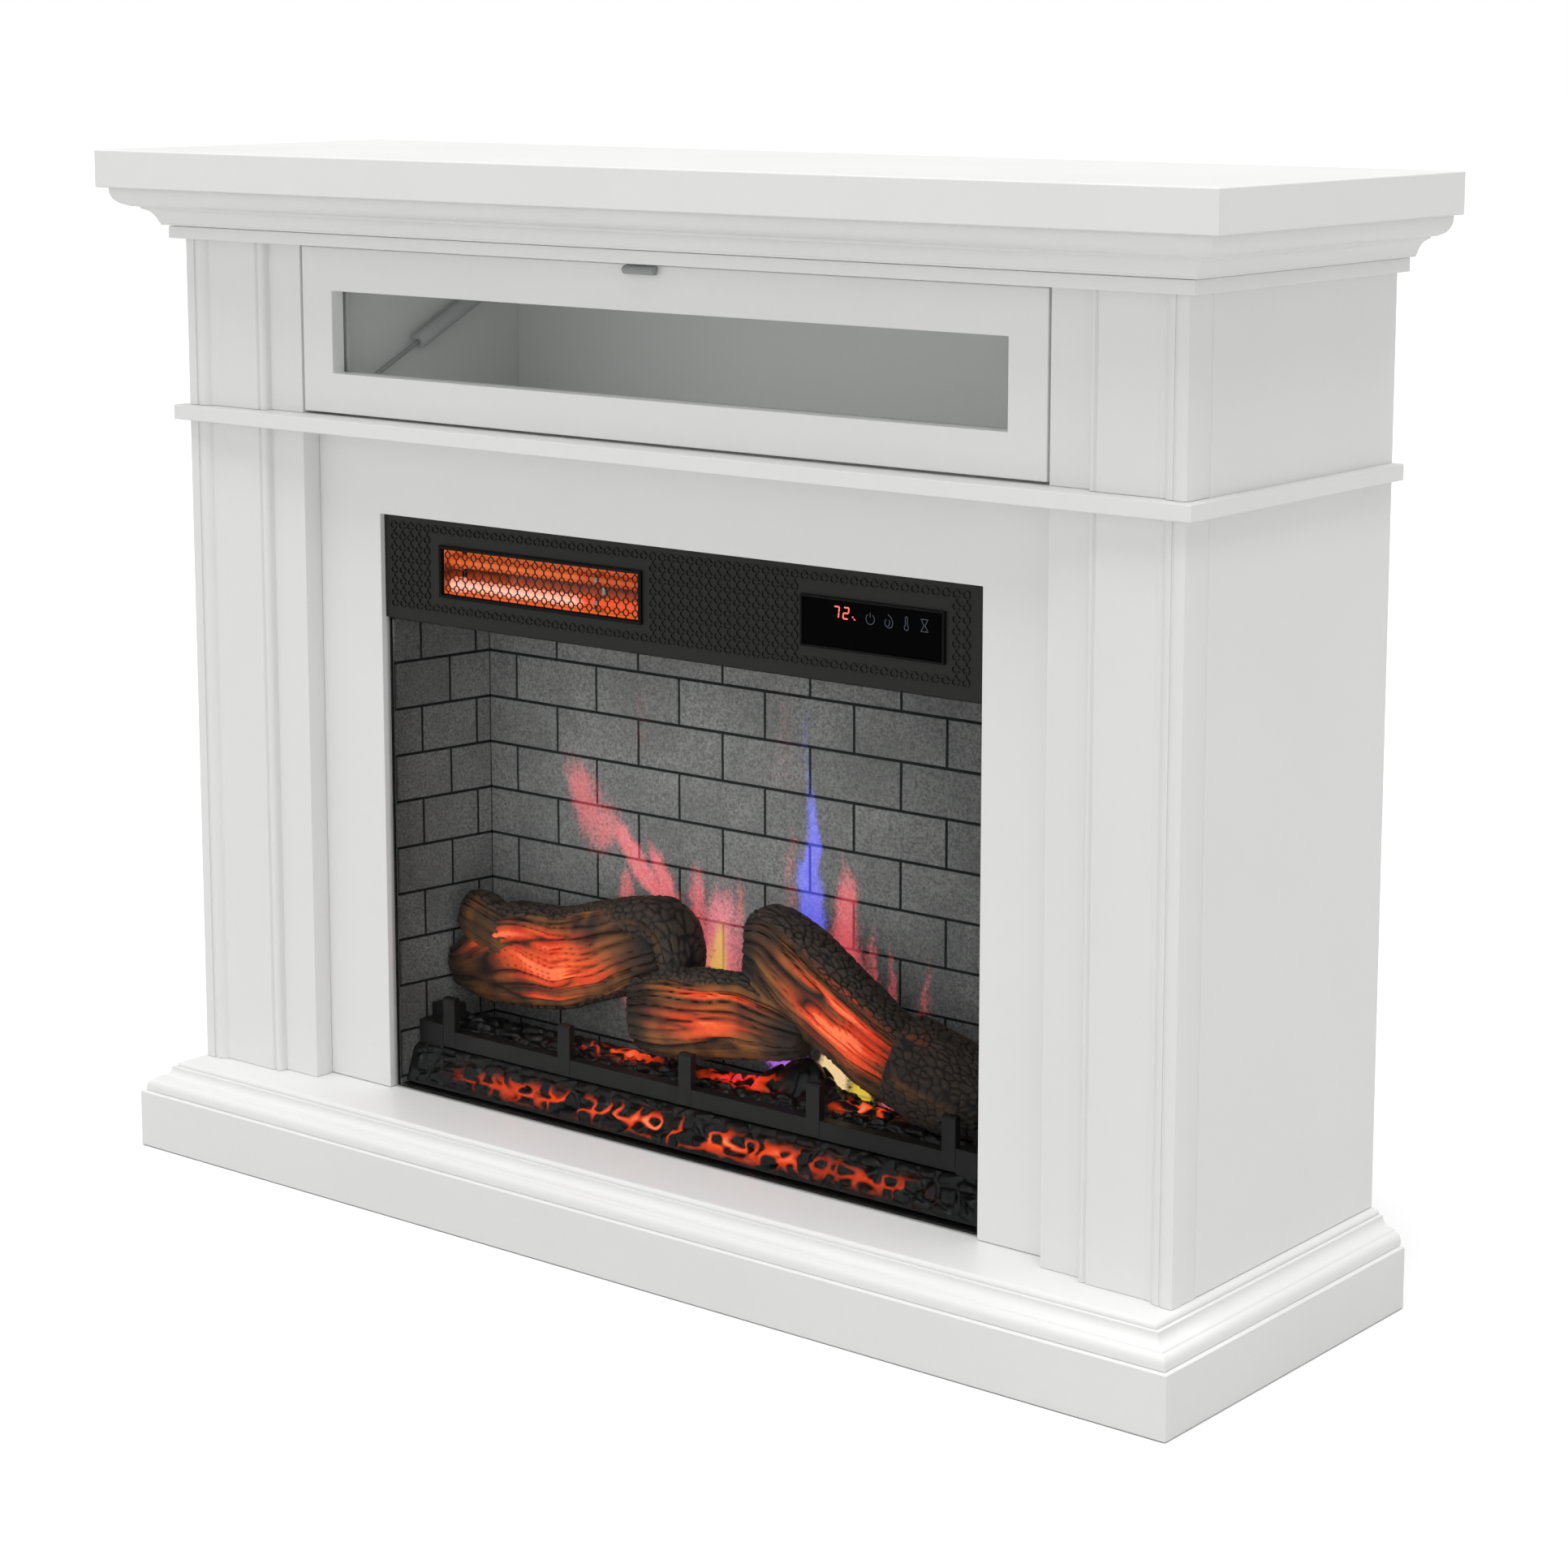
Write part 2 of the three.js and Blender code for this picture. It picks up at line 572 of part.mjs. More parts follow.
/** A magnet holder behind the apron rail, which hangs down behind the closed door. */
function makeCatch() {
  const doorBack = DOOR_AXIS_Y + DOOR_BACK + GAP;
  const apronBack = RABBET_BACK + GAP;
  const step = APRON_BOTTOM + 2;
  const [top, foot, back, half] = [785, 741, -70, 18];
  const outline = polygon([
    [apronBack, step], [apronBack, top], [back, top], [back, foot], [doorBack, foot],
    [doorBack, step],
  ]);
  return named("magnet_catch", prismX(outline, -half, half), greyPlastic());
}

// ---------------------------------------------------------------------------------------------
// Insert: housing, front, heater
// ---------------------------------------------------------------------------------------------

function makeHousing() {
  const inner = INSERT_HALF - SHEET;
  const outline = withHoles(
    rectangle(-INSERT_HALF, INSERT_HALF, GAP, INSERT_HEIGHT),
    rectangle(-inner, inner, GAP + SHEET, PARTITION),
    rectangle(-inner, inner, PARTITION + SHEET, INSERT_HEIGHT - SHEET));
  const housing = named("insert_housing",
    prismY(outline, HOUSING_FRONT, HOUSING_BACK), blackSteel());

  const coverFront = HOUSING_BACK + GAP;
  const coverBack = coverFront + SHEET;
  const slot = { length: 80, height: 6, pitchX: 105, pitchZ: 15, x: -250, z: 404 };
  const slots = [];
  for (let row = 0; row < 4; row += 1) {
    for (let column = 0; column < 5; column += 1) {
      const x = slot.x + column * slot.pitchX;
      const z = slot.z + row * slot.pitchZ;
      slots.push(prismY(rectangle(x, x + slot.length, z, z + slot.height),
        coverFront - 1, coverBack + 1));
    }
  }
  const gland = { x: -240, z: 30, radius: 8 };
  const cableHole = prismY(circle(gland.x, gland.z, gland.radius + GAP),
    coverFront - 1, coverBack + 1);
  const sheet = prismY(rectangle(-INSERT_HALF, INSERT_HALF, GAP, INSERT_HEIGHT),
    coverFront, coverBack);
  const rearCover = named("housing_rear_cover", cut(sheet, cableHole, ...slots), blackSteel());

  // Gland for the mains lead: a flanged sleeve through the rear cover
  const outside = coverBack + GAP;
  const bore = 3.6;
  const sleeve = turnedY([
    [bore, coverFront - 8], [gland.radius, coverFront - 8], [gland.radius, outside],
    [12, outside], [12, outside + 4], [7.5, outside + 5], [6.5, outside + 12],
    [bore, outside + 12], [bore, coverFront - 8],
  ]).translate(gland.x, 0, gland.z);
  return [housing, rearCover, named("cord_gland", sleeve, blackPlastic())];
}

function makeInsertFront() {
  const glass = board("front_glass", clearGlass(), -294.5, 294.5, 0, 3.2, 2.9, 391);

  const windowInset = 3;
  const heaterHole = rectangle(HEATER_WINDOW.x0 + windowInset, HEATER_WINDOW.x1 - windowInset,
    HEATER_WINDOW.z0 + windowInset, HEATER_WINDOW.z1 - windowInset);
  const displayInset = 5;
  const displayHole = rectangle(DISPLAY.x0 + displayInset, DISPLAY.x1 - displayInset,
    DISPLAY.z0 + displayInset, DISPLAY.z1 - displayInset);
  const panelOutline = rectangle(-INSERT_HALF - 0.4, INSERT_HALF + 0.4,
    HEADER_BOTTOM, INSERT_HEIGHT + 0.3);
  const panel = named("header_panel",
    prismY(withHoles(panelOutline, heaterHole, displayHole), 0, 2), blackSteel());

  const bezelRim = 5;
  const bezelOutline = rectangle(HEATER_WINDOW.x0, HEATER_WINDOW.x1,
    HEATER_WINDOW.z0, HEATER_WINDOW.z1);
  const bezelHole = rectangle(HEATER_WINDOW.x0 + bezelRim, HEATER_WINDOW.x1 - bezelRim,
    HEATER_WINDOW.z0 + bezelRim, HEATER_WINDOW.z1 - bezelRim);
  const bezel = named("heater_bezel",
    prismY(withHoles(bezelOutline, bezelHole), -2.8, -GAP), blackSteel());

  const grille = named("heater_grille", grillePlate(windowInset + GAP), blackSteel());
  const display = board("display_window", blackPlastic(), DISPLAY.x0, DISPLAY.x1, -2.4, -GAP,
    DISPLAY.z0, DISPLAY.z1);
  return [glass, panel, bezel, grille, display, makeControlBoard()];
}

/** A perforated plate in front of the heating tubes. */
function grillePlate(inset) {
  const x0 = HEATER_WINDOW.x0 + inset;
  const x1 = HEATER_WINDOW.x1 - inset;
  const z0 = HEATER_WINDOW.z0 + inset;
  const z1 = HEATER_WINDOW.z1 - inset;
  const columns = 14;
  const rows = 3;
  const margin = 3;
  const bridge = 2.4;
  const pitchX = (x1 - x0 - 2 * margin + bridge) / columns;
  const pitchZ = (z1 - z0 - 2 * margin + bridge) / rows;
  const holes = [];
  for (let column = 0; column < columns; column += 1) {
    for (let row = 0; row < rows; row += 1) {
      const x = x0 + margin + column * pitchX;
      const z = z0 + margin + row * pitchZ;
      holes.push(prismY(rectangle(x, x + pitchX - bridge, z, z + pitchZ - bridge), -1, 2));
    }
  }
  return cut(prismY(rectangle(x0, x1, z0, z1), 0.2, 1), ...holes);
}

/** The board behind the display: digits module at the front, relays and a choke behind. */
function makeControlBoard() {
  const sheet = new THREE.BoxGeometry(140, 1.6, 46).translate(196, 6.8, 435);
  const digits = new THREE.BoxGeometry(40, 4, 16).translate(165, 4.4, 436);
  const relays = [170, 200, 230].map((x) =>
    new THREE.BoxGeometry(18, 15, 20).translate(x, 14.6, 432));
  return named("control_board", union(sheet, digits, ...relays), greenBoard());
}

function makeHeater() {
  const tubeY = 20;
  const [start, end] = [-237, -20];
  const [tubeRadius, capRadius, capLength] = [5, 6.5, 9];
  const profile = [
    [0, start], [capRadius, start], [capRadius, start + capLength],
    [tubeRadius, start + capLength + 2], [tubeRadius, end - capLength - 2],
    [capRadius, end - capLength], [capRadius, end], [0, end],
  ];
  const meshes = [["upper", 440.5], ["lower", 421.5]].map(([level, z]) =>
    named(`quartz_tube_${level}`, turnedX(profile, tubeY, z), glowingQuartz()));

  // Trough reflector: a bent aluminium sheet that wraps the tubes from behind
  const spine = [[8, 459], [24, 457], [36, 448], [38, 435], [36, 422], [24, 413], [8, 411]];
  const centre = [20, 435];
  const outer = spine.map(([y, z]) => {
    const away = Math.hypot(y - centre[0], z - centre[1]);
    return [y + (y - centre[0]) / away, z + (z - centre[1]) / away];
  });
  meshes.push(named("heater_reflector",
    prismX(polygon([...spine, ...outer.reverse()]), -240, -17), aluminium()));
  return [...meshes, ...makeBlower()];
}

/** Cross-flow blower behind the reflector: a barrel of thin blades, and its motor. */
function makeBlower() {
  const [y, z] = [78, 434];
  const [x0, x1] = [-220, -40];
  const radius = 20;
  const blades = [];
  const count = 12;
  for (let i = 0; i < count; i += 1) {
    blades.push(new THREE.BoxGeometry(x1 - x0 - 1, 6, 1.2)
      .rotateX(0.5)
      .translate(0, radius - 4, 0)
      .rotateX((2 * Math.PI * i) / count)
      .translate((x0 + x1) / 2, y, z));
  }
  const discs = [barX(radius, x0, x0 + 2, y, z, 24), barX(radius, x1 - 2, x1, y, z, 24)];
  const wheel = union(...discs, ...blades);

  const can = barX(17, x1 + 2, x1 + 34, y, z, 20);
  const foot = new THREE.BoxGeometry(30, 26, 26).translate(x1 + 18, y, HEADER_BOTTOM + GAP + 13);
  return [
    named("blower_wheel", wheel, blackPlastic()),
    named("blower_motor", union(can, foot), brightSteel()),
  ];
}

// ---------------------------------------------------------------------------------------------
// Insert: firebox, log set and flame maker
// ---------------------------------------------------------------------------------------------

function makeFirebox() {
  const top = PARTITION - 1;
  const bottom = 2.5;
  const meshes = [board("brick_back", printedBrick(), -FIREBOX_BACK_HALF, FIREBOX_BACK_HALF,
    FIREBOX_BACK, FIREBOX_BACK + LINER, bottom, top)];
  for (const [sideName, side] of SIDES) {
    const front = HOUSING_FRONT + 0.6;
    const back = FIREBOX_BACK - GAP;
    const wall = polygon([
      [side * FIREBOX_FRONT_HALF, front], [side * (FIREBOX_BACK_HALF + 0.5), back],
      [side * (FIREBOX_BACK_HALF + 0.5 + LINER), back], [side * (FIREBOX_FRONT_HALF + LINER), front],
    ]);
    meshes.push(named(`brick_${sideName}`, prismZ(wall, bottom, top), printedBrick()));
  }
  return meshes;
}

/** The ember bed is a moulded shell: a slope in front of the grate and a higher bank behind it. */
function makeEmberBed() {
  const section = polygon([
    [7, 3], [17, 35], [33.5, 35], [37, 52], [60, 54], [86, 44], [91, 3],
    [87, 3], [82, 41], [60, 50], [40, 48], [37, 31], [20, 31], [11.5, 3],
  ]);
  const shell = toSolid(prismX(section, -288, 288));
  const plan = toSolid(prismZ(polygon([
    [-288, 5], [288, 5], [272, 93], [-272, 93],
  ]), 0, 80));
  return named("ember_bed", toGeometry(shell.intersect(plan)), emberResin());
}

function makeGrate() {
  const outline = [[-GRATE.half, GRATE.z0], [GRATE.half, GRATE.z0], [GRATE.half, GRATE.z1]];
  for (let post = 2; post >= -2; post -= 1) {
    const x = post * POST_PITCH;
    const half = GRATE.post / 2;
    outline.push([x + half, GRATE.z1], [x + half, GRATE.top], [x - half, GRATE.top],
      [x - half, GRATE.z1]);
  }
  outline.push([-GRATE.half, GRATE.z1]);
  return named("grate", prismY(polygon(outline), GRATE.y0, GRATE.y1), blackSteel());
}

/**
 * A split log: an uneven oval carried along a line of stations [x, z, half height], flattened
 * front to back so that it fits between the grate and the back wall.
 */
function logBody(stations, y, halfDepth, lumps) {
  const sides = 10;
  const oval = new THREE.Shape();
  for (let i = 0; i < sides; i += 1) {
    const angle = (2 * Math.PI * i) / sides;
    const bulge = 1 - 0.06 * lumps * (1 + Math.cos(3 * angle + lumps)) / 2;
    const point = [Math.cos(angle) * bulge, Math.sin(angle) * bulge];
    oval[i === 0 ? "moveTo" : "lineTo"](...point);
  }
  const steps = stations.length - 1;
  const body = new THREE.ExtrudeGeometry(oval, { depth: steps, steps, bevelEnabled: false });
  const position = body.attributes.position;
  for (let i = 0; i < position.count; i += 1) {
    const [x, z, half] = stations[Math.round(position.getZ(i))];
    const across = position.getX(i);
    const up = position.getY(i);
    position.setXYZ(i, x, y + across * halfDepth, z + up * half);
  }
  return body;
}

function makeLogs() {
  const left = union(
    logBody([[-270, 92, 22], [-235, 96, 30], [-165, 113, 35], [-96, 132, 36], [-46, 152, 30],
      [-22, 158, 24]], 64, 22, 1),
    logBody([[-262, 158, 16], [-244, 150, 21], [-222, 128, 24], [-205, 112, 20]], 62, 17, 2));
  const middle = logBody([[-77, 91, 20], [-40, 92, 22], [20, 96, 21], [70, 97, 19], [90, 98, 15]],
    52, 16, 2);
  const right = logBody([[42, 168, 26], [66, 162, 34], [115, 143, 35], [170, 118, 35],
    [225, 98, 33], [262, 90, 26], [274, 88, 18]], 58, 20, 1);
  return [["left", left], ["middle", middle], ["right", right]].map(([place, geometry]) =>
    named(`log_${place}`, geometry, barkResin()));
}

/** Light board, a spindle of bright paddles that breaks the light up, and its slow motor. */
function makeFlameMaker() {
  const [y, z] = [62, 24];
  const paddles = [];
  const count = 14;
  for (let i = 0; i < count; i += 1) {
    paddles.push(new THREE.BoxGeometry(20, 19, 0.8)
      .rotateX((Math.PI * i) / 5)
      .translate(-208 + i * 32, y, z));
  }
  const spindle = union(barX(2, -228, 230, y, z, 8), ...paddles);
  const motor = union(barX(13, 233, 254, y, z, 20),
    new THREE.BoxGeometry(16, 24, 12).translate(243.5, y, 8));

  const lamps = [];
  for (let i = 0; i < 12; i += 1) {
    lamps.push(new THREE.BoxGeometry(6, 6, 3).translate(-198 + i * 36, 40, 8));
  }
  const strip = union(new THREE.BoxGeometry(440, 12, 1.6).translate(0, 42, 6), ...lamps);
  return [
    named("flame_spindle", spindle, aluminium()),
    named("spindle_motor", motor, brightSteel()),
    named("led_strip", strip, greenBoard()),
  ];
}

// ---------------------------------------------------------------------------------------------
// Assembly
// ---------------------------------------------------------------------------------------------

const mantel = new THREE.Group();
mantel.add(...makeTop(), ...makePilasters(), ...makeCase(), ...makeBase(), makeCatch());

const flap = new THREE.Group();
flap.add(makeDoor());
for (const [sideName, side] of SIDES) {
  flap.add(makeStay(sideName, side), makeStayAnchor(sideName, side));
}

const insert = new THREE.Group();
insert.position.set(0, INSERT_FACE, INSERT_BASE);
insert.add(...makeHousing(), ...makeInsertFront(), ...makeHeater(), ...makeFirebox(),
  makeEmberBed(), makeGrate(), ...makeLogs(), ...makeFlameMaker());

const fireplace = new THREE.Group();
fireplace.add(mantel, flap, insert);

export default fireplace;
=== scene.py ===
# %% [markdown]
# # An electric fireplace in a painted mantel
# The real thing is a fibreboard mantel, sprayed white, with a small glass-fronted compartment
# under its top and a black heater insert below: printed bricks, cast logs and a lamp-lit ember bed.
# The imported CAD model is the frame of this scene. Every size below is read from it, so that what
# is built here sits exactly where the engineering model says.

# %% Load the frame
import json
import math
from functools import partial

import bmesh
import bpy
import numpy as np
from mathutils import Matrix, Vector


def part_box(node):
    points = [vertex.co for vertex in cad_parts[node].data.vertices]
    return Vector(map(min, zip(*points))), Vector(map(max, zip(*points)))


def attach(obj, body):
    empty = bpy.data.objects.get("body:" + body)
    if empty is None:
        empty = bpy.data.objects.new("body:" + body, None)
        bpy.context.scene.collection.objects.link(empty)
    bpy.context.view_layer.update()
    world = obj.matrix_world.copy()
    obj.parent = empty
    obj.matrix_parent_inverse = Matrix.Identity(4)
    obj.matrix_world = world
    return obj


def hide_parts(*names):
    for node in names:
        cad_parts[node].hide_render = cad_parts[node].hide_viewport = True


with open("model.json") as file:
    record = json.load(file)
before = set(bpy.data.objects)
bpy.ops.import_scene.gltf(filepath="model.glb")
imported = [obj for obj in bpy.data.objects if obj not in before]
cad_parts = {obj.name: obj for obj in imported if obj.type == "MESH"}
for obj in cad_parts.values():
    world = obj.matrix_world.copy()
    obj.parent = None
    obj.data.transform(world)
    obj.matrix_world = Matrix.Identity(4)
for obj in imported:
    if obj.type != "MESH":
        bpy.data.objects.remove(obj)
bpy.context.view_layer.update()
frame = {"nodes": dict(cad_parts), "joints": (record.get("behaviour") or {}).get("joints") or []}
MM = 0.001

# %% [markdown]
# ## Working in millimetres
# A joiner and a tinsmith both think in millimetres, so the shapes here do too, and one line turns
# them into Blender's metres when a mesh is made. Each node's box is the place that a piece starts from.

# %% Boxes in millimetres


def box_mm(node):
    """Lowest and highest corner of a CAD node at rest, in millimetres."""
    low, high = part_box(node)
    return np.array(low) / MM, np.array(high) / MM


body_half = box_mm("right_side_panel")[1][0]
body_front = box_mm("apron_rail")[0][1]
BASE_STEP = 21.9
base_front = box_mm("lower_left_pilaster")[0][1] - BASE_STEP
back = box_mm("top_board")[1][1]
print("body half width", round(body_half, 1), "front", round(body_front, 1), "back", round(back, 1))

# %% [markdown]
# ## Surfaces from two parameters
# Nearly every piece is one of two things: a section carried along a path with mitred corners, as a
# moulding is, or an outline carried straight, as a sawn board is. Both are worked out as whole arrays.
# A box with a bevel could stand for the boards, but one way for all of them keeps the corners alike.

# %% Faces of a grid


def grid(rows, columns, wrap_rows=False, wrap_columns=False):
    """Quads between neighbouring points of a grid stored row after row; a wrap joins last to first."""
    row = np.arange(rows if wrap_rows else rows - 1)[:, None] * columns
    above = (row + columns) % (rows * columns)
    column = np.arange(columns if wrap_columns else columns - 1)
    beside = (column + 1) % columns
    quads = [row + column, row + beside, above + beside, above + column]
    return np.stack([q.ravel() for q in quads], 1)


print("a 3 by 4 grid has", len(grid(3, 4)), "faces")

# %% A section carried along a path


def carried(section, path, closed=False, up=(0, 0, 1)):
    """Point = path corner + reach x mitre direction + height x up.

    section rows are (reach, height). The mitre direction at a corner is the sum of the outward normals
    of the two runs that meet there, divided by one plus their dot product, so that widths stay true.
    """
    section, path, up = (np.array(x, float) for x in (section, path, up))
    step = np.roll(path, -1, 0) - path
    if not closed:
        step[-1] = step[-2]
    step /= np.linalg.norm(step, axis=1, keepdims=True)
    before = np.roll(step, 1, 0)
    if not closed:
        before[0] = step[0]
    coming, going = np.cross(before, up), np.cross(step, up)
    mitre = (coming + going) / (1 + (coming * going).sum(1, keepdims=True))
    points = path[:, None] + section[:, :1] * mitre[:, None] + section[:, 1:] * up
    count = len(section)
    faces = grid(len(path), count, closed, True).tolist()
    if not closed:
        ends = np.arange(count)
        faces += [ends.tolist(), (ends + (len(path) - 1) * count).tolist()]
    return points.reshape(-1, 3), faces


# %% An outline carried straight


def prism(outline, low, high, along="z"):
    """Point = outline point moved straight along one axis, from low to high, with both ends closed."""
    outline = np.array(outline, float)
    count = len(outline)
    flat = np.vstack([np.c_[outline, np.full(count, low)], np.c_[outline, np.full(count, high)]])
    order = {"x": (2, 0, 1), "y": (0, 2, 1), "z": (0, 1, 2)}[along]
    ends = np.arange(count)
    faces = grid(2, count, False, True).tolist() + [ends.tolist(), (ends + count).tolist()]
    return flat[:, order], faces


def rectangle(a0, a1, b0, b1):
    """Four corners, anticlockwise."""
    return [(a0, b0), (a1, b0), (a1, b1), (a0, b1)]


def block(low, high):
    """A rectangular board between two corners."""
    return prism(rectangle(low[0], high[0], low[1], high[1]), low[2], high[2])


# %% A profile turned about an axis


def turned(profile, centre, along, sides=32):
    """Point = centre + distance x axis + radius x (cos a, sin a) in the plane across that axis.

    profile rows are (radius, distance along the axis).
    """
    profile, axis = np.array(profile, float), np.array(along, float)
    axis /= np.linalg.norm(axis)
    side = np.cross(axis, (0, 0, 1) if abs(axis[2]) < 0.9 else (1, 0, 0))
    side /= np.linalg.norm(side)
    angle = np.linspace(0, 2 * np.pi, sides, endpoint=False)
    around = np.cos(angle)[:, None] * side + np.sin(angle)[:, None] * np.cross(axis, side)
    points = np.array(centre) + profile[:, None, 1:] * axis + profile[:, None, :1] * around
    return points.reshape(-1, 3), grid(len(profile), sides, False, True).tolist()


# %% Curves for outlines


def bend(start, control, end, count=12):
    """Quadratic curve: start, end and the corner that pulls it, at even steps."""
    t = np.linspace(0, 1, count)[:, None]
    return (1 - t) ** 2 * np.array(start) + 2 * t * (1 - t) * np.array(control) + t**2 * np.array(end)


def arc(centre, radius, start, end, count=12):
    """Points on a circle between two angles in degrees."""
    angle = np.radians(np.linspace(start, end, count))
    return np.array(centre) + radius * np.c_[np.cos(angle), np.sin(angle)]


def eased(section, radius):
    """The same outline with each corner cut back by the radius and bulged half-way, as sanding leaves it."""
    section = np.array(section, float)
    cuts = []
    for neighbour in (np.roll(section, 1, 0), np.roll(section, -1, 0)):
        reach = neighbour - section
        length = np.linalg.norm(reach, axis=1, keepdims=True)
        cuts.append(section + reach * np.minimum(radius / length, 0.33))
    middle = 0.5 * section + 0.25 * (cuts[0] + cuts[1])
    return np.stack([cuts[0], middle, cuts[1]], 1).reshape(-1, 2)


# %% [markdown]
# ## From arrays to a finished piece
# A piece gets its mesh in metres, its doubled points merged, its faces turned outwards, and smooth
# shading wherever two faces meet at a small angle. A Bevel modifier eases the arrises of sawn boards:
# painted fibreboard never keeps a razor edge, and the eased edge is what catches the light.

# %% Make a piece


def into_scene(name, data):
    """Puts a new object into the scene."""
    made = bpy.data.objects.new(name, data)
    bpy.context.scene.collection.objects.link(made)
    return made


def make_piece(name, shape, finish, body="cabinet", replaces=(), slot=None, ease=0.0, smooth=35, extra=None):
    """shape is (points in mm, faces), ease the arris radius in mm, extra numbers for each point by name."""
    points, faces = shape
    mesh = bpy.data.meshes.new(name)
    faces = faces.tolist() if isinstance(faces, np.ndarray) else faces
    mesh.from_pydata((np.asarray(points) * MM).tolist(), [], faces)
    for key, numbers in (extra or {}).items():
        layer = mesh.attributes.new(key, "FLOAT", "POINT")
        layer.data.foreach_set("value", np.asarray(numbers, np.float32).ravel())
    work = bmesh.new()
    work.from_mesh(mesh)
    bmesh.ops.remove_doubles(work, verts=work.verts, dist=1e-6)
    bmesh.ops.recalc_face_normals(work, faces=work.faces)
    work.to_mesh(mesh)
    work.free()
    mesh.shade_smooth()
    mesh.set_sharp_from_angle(angle=math.radians(smooth))
    mesh.materials.append(finish)
    piece = into_scene(name, mesh)
    if ease:
        bevel = piece.modifiers.new("eased_arris", "BEVEL")
        bevel.width, bevel.segments = ease * MM, 2
        bevel.limit_method, bevel.angle_limit = "ANGLE", math.radians(40)
        bevel.harden_normals = True
    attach(piece, body)
    if replaces:
        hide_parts(*replaces)
    return piece


def together(*shapes):
    """Several shapes as one: points stacked, faces renumbered."""
    points, faces, start = [], [], 0
    for some_points, some_faces in shapes:
        points.append(np.asarray(some_points, float))
        faces += (np.asarray(f) + start for f in some_faces)
        start += len(some_points)
    return np.vstack(points), [f.tolist() for f in faces]


# %% [markdown]
# ## Materials from nodes
# A hex value is how a paint maker gives a colour, but the renderer works in linear light, so one
# function converts. The others each add one node; everything else is plain wiring. Patterns read
# Object coordinates, which are metres here, so a pattern's size in mm is turned into a scale.

# %% Colour and node helpers


def linear(hex_value):
    """sRGB hex such as '#f1f1ef' as linear red, green, blue and 1 for alpha."""
    srgb = np.array([int(hex_value[i : i + 2], 16) for i in (1, 3, 5)]) / 255
    straight = np.where(srgb <= 0.04045, srgb / 12.92, ((srgb + 0.055) / 1.055) ** 2.4)
    return (*straight.tolist(), 1.0)


def add(tree, kind, inputs=None, **settings):
    """Adds one node. inputs maps a socket to a number, a hex colour or another node's output."""
    node = tree.nodes.new("ShaderNode" + kind)
    for key, value in settings.items():
        setattr(node, key, value)
    for key, value in (inputs or {}).items():
        if isinstance(value, bpy.types.NodeSocket):
            tree.links.new(value, node.inputs[key])
        else:
            node.inputs[key].default_value = linear(value) if isinstance(value, str) else value
    return node


def empty_tree(made):
    """Switches a material or a world to nodes and clears them."""
    made.use_nodes = True
    made.node_tree.nodes.clear()
    return made.node_tree


def new_finish(name, **constants):
    """A material with one Principled shader. Constants are its sockets, with _ for a space."""
    made = bpy.data.materials.new(name)
    tree = empty_tree(made)
    shader = add(tree, "BsdfPrincipled", {k.replace("_", " "): v for k, v in constants.items()})
    add(tree, "OutputMaterial", {"Surface": shader.outputs["BSDF"]})
    return made, tree, shader


def wire(tree, shader, **sources):
    """Links outputs to the shader's sockets, named with _ for a space."""
    for socket, source in sources.items():
        tree.links.new(source, shader.inputs[socket.replace("_", " ")])


def noise(tree, size, detail, **more):
    """Soft noise over the object, with lumps about size millimetres across."""
    place = more.pop("Vector", None) or add(tree, "TexCoord").outputs["Object"]
    inputs = {"Vector": place, "Scale": 1 / (size * MM), "Detail": detail, **more}
    return add(tree, "TexNoise", inputs).outputs["Fac"]


def remap(tree, value, low, high, to_low=0.0, to_high=1.0):
    """A value stretched from low..high to to_low..to_high and held at both ends."""
    limits = {"From Min": low, "From Max": high, "To Min": to_low, "To Max": to_high}
    return add(tree, "MapRange", {"Value": value, **limits}).outputs[0]


def relief(tree, height, depth, strength):
    """A bump as high as depth millimetres."""
    return add(tree, "Bump", {"Height": height, "Distance": depth * MM, "Strength": strength}).outputs[0]


def blend(tree, factor, a, b, kind="MIX"):
    """Colour mix from a to b; both may be hex colours or outputs."""
    return add(tree, "Mix", {0: factor, 6: a, 7: b}, data_type="RGBA", blend_type=kind).outputs[2]


def maths(tree, operation, a, b=0.0, clamp=False):
    """One arithmetic step between two outputs or numbers."""
    return add(tree, "Math", {0: a, 1: b}, operation=operation, use_clamp=clamp).outputs[0]


def attribute(tree, name):
    """A float stored on the piece's points."""
    return add(tree, "Attribute", attribute_name=name).outputs["Fac"]


def ramp(tree, factor, stops):
    """A colour ramp through (place, hex colour) stops, from 0 to 1."""
    node = add(tree, "ValToRGB", {"Fac": factor})
    marks = node.color_ramp.elements
    for at, hex_value in stops:
        mark = marks[-int(at)] if at in (0, 1) else marks.new(at)
        mark.position, mark.color = at, linear(hex_value)
    return node.outputs["Color"]


# %% [markdown]
# ### Sprayed satin lacquer
# Fibreboard is primed and sprayed, which leaves a satin skin with a faint orange peel about a
# millimetre and a half across. That is too fine to show from three metres, so it is drawn at 5 mm. A
# slow mottle in tone and gloss keeps wide panels from looking like plastic sheet.

# %% White lacquer


def lacquer(name, light, dark, roughness):
    """Two near whites mixed by a slow cloud, with orange peel as bump."""
    made, tree, shader = new_finish(name, IOR=1.5)
    cloud = noise(tree, 160, 3.0)
    wire(tree, shader, Base_Color=blend(tree, cloud, dark, light),
         Roughness=remap(tree, cloud, 0, 1, roughness - 0.04, roughness + 0.05),
         Normal=relief(tree, noise(tree, 5, 1.0), 0.02, 0.5))
    return made


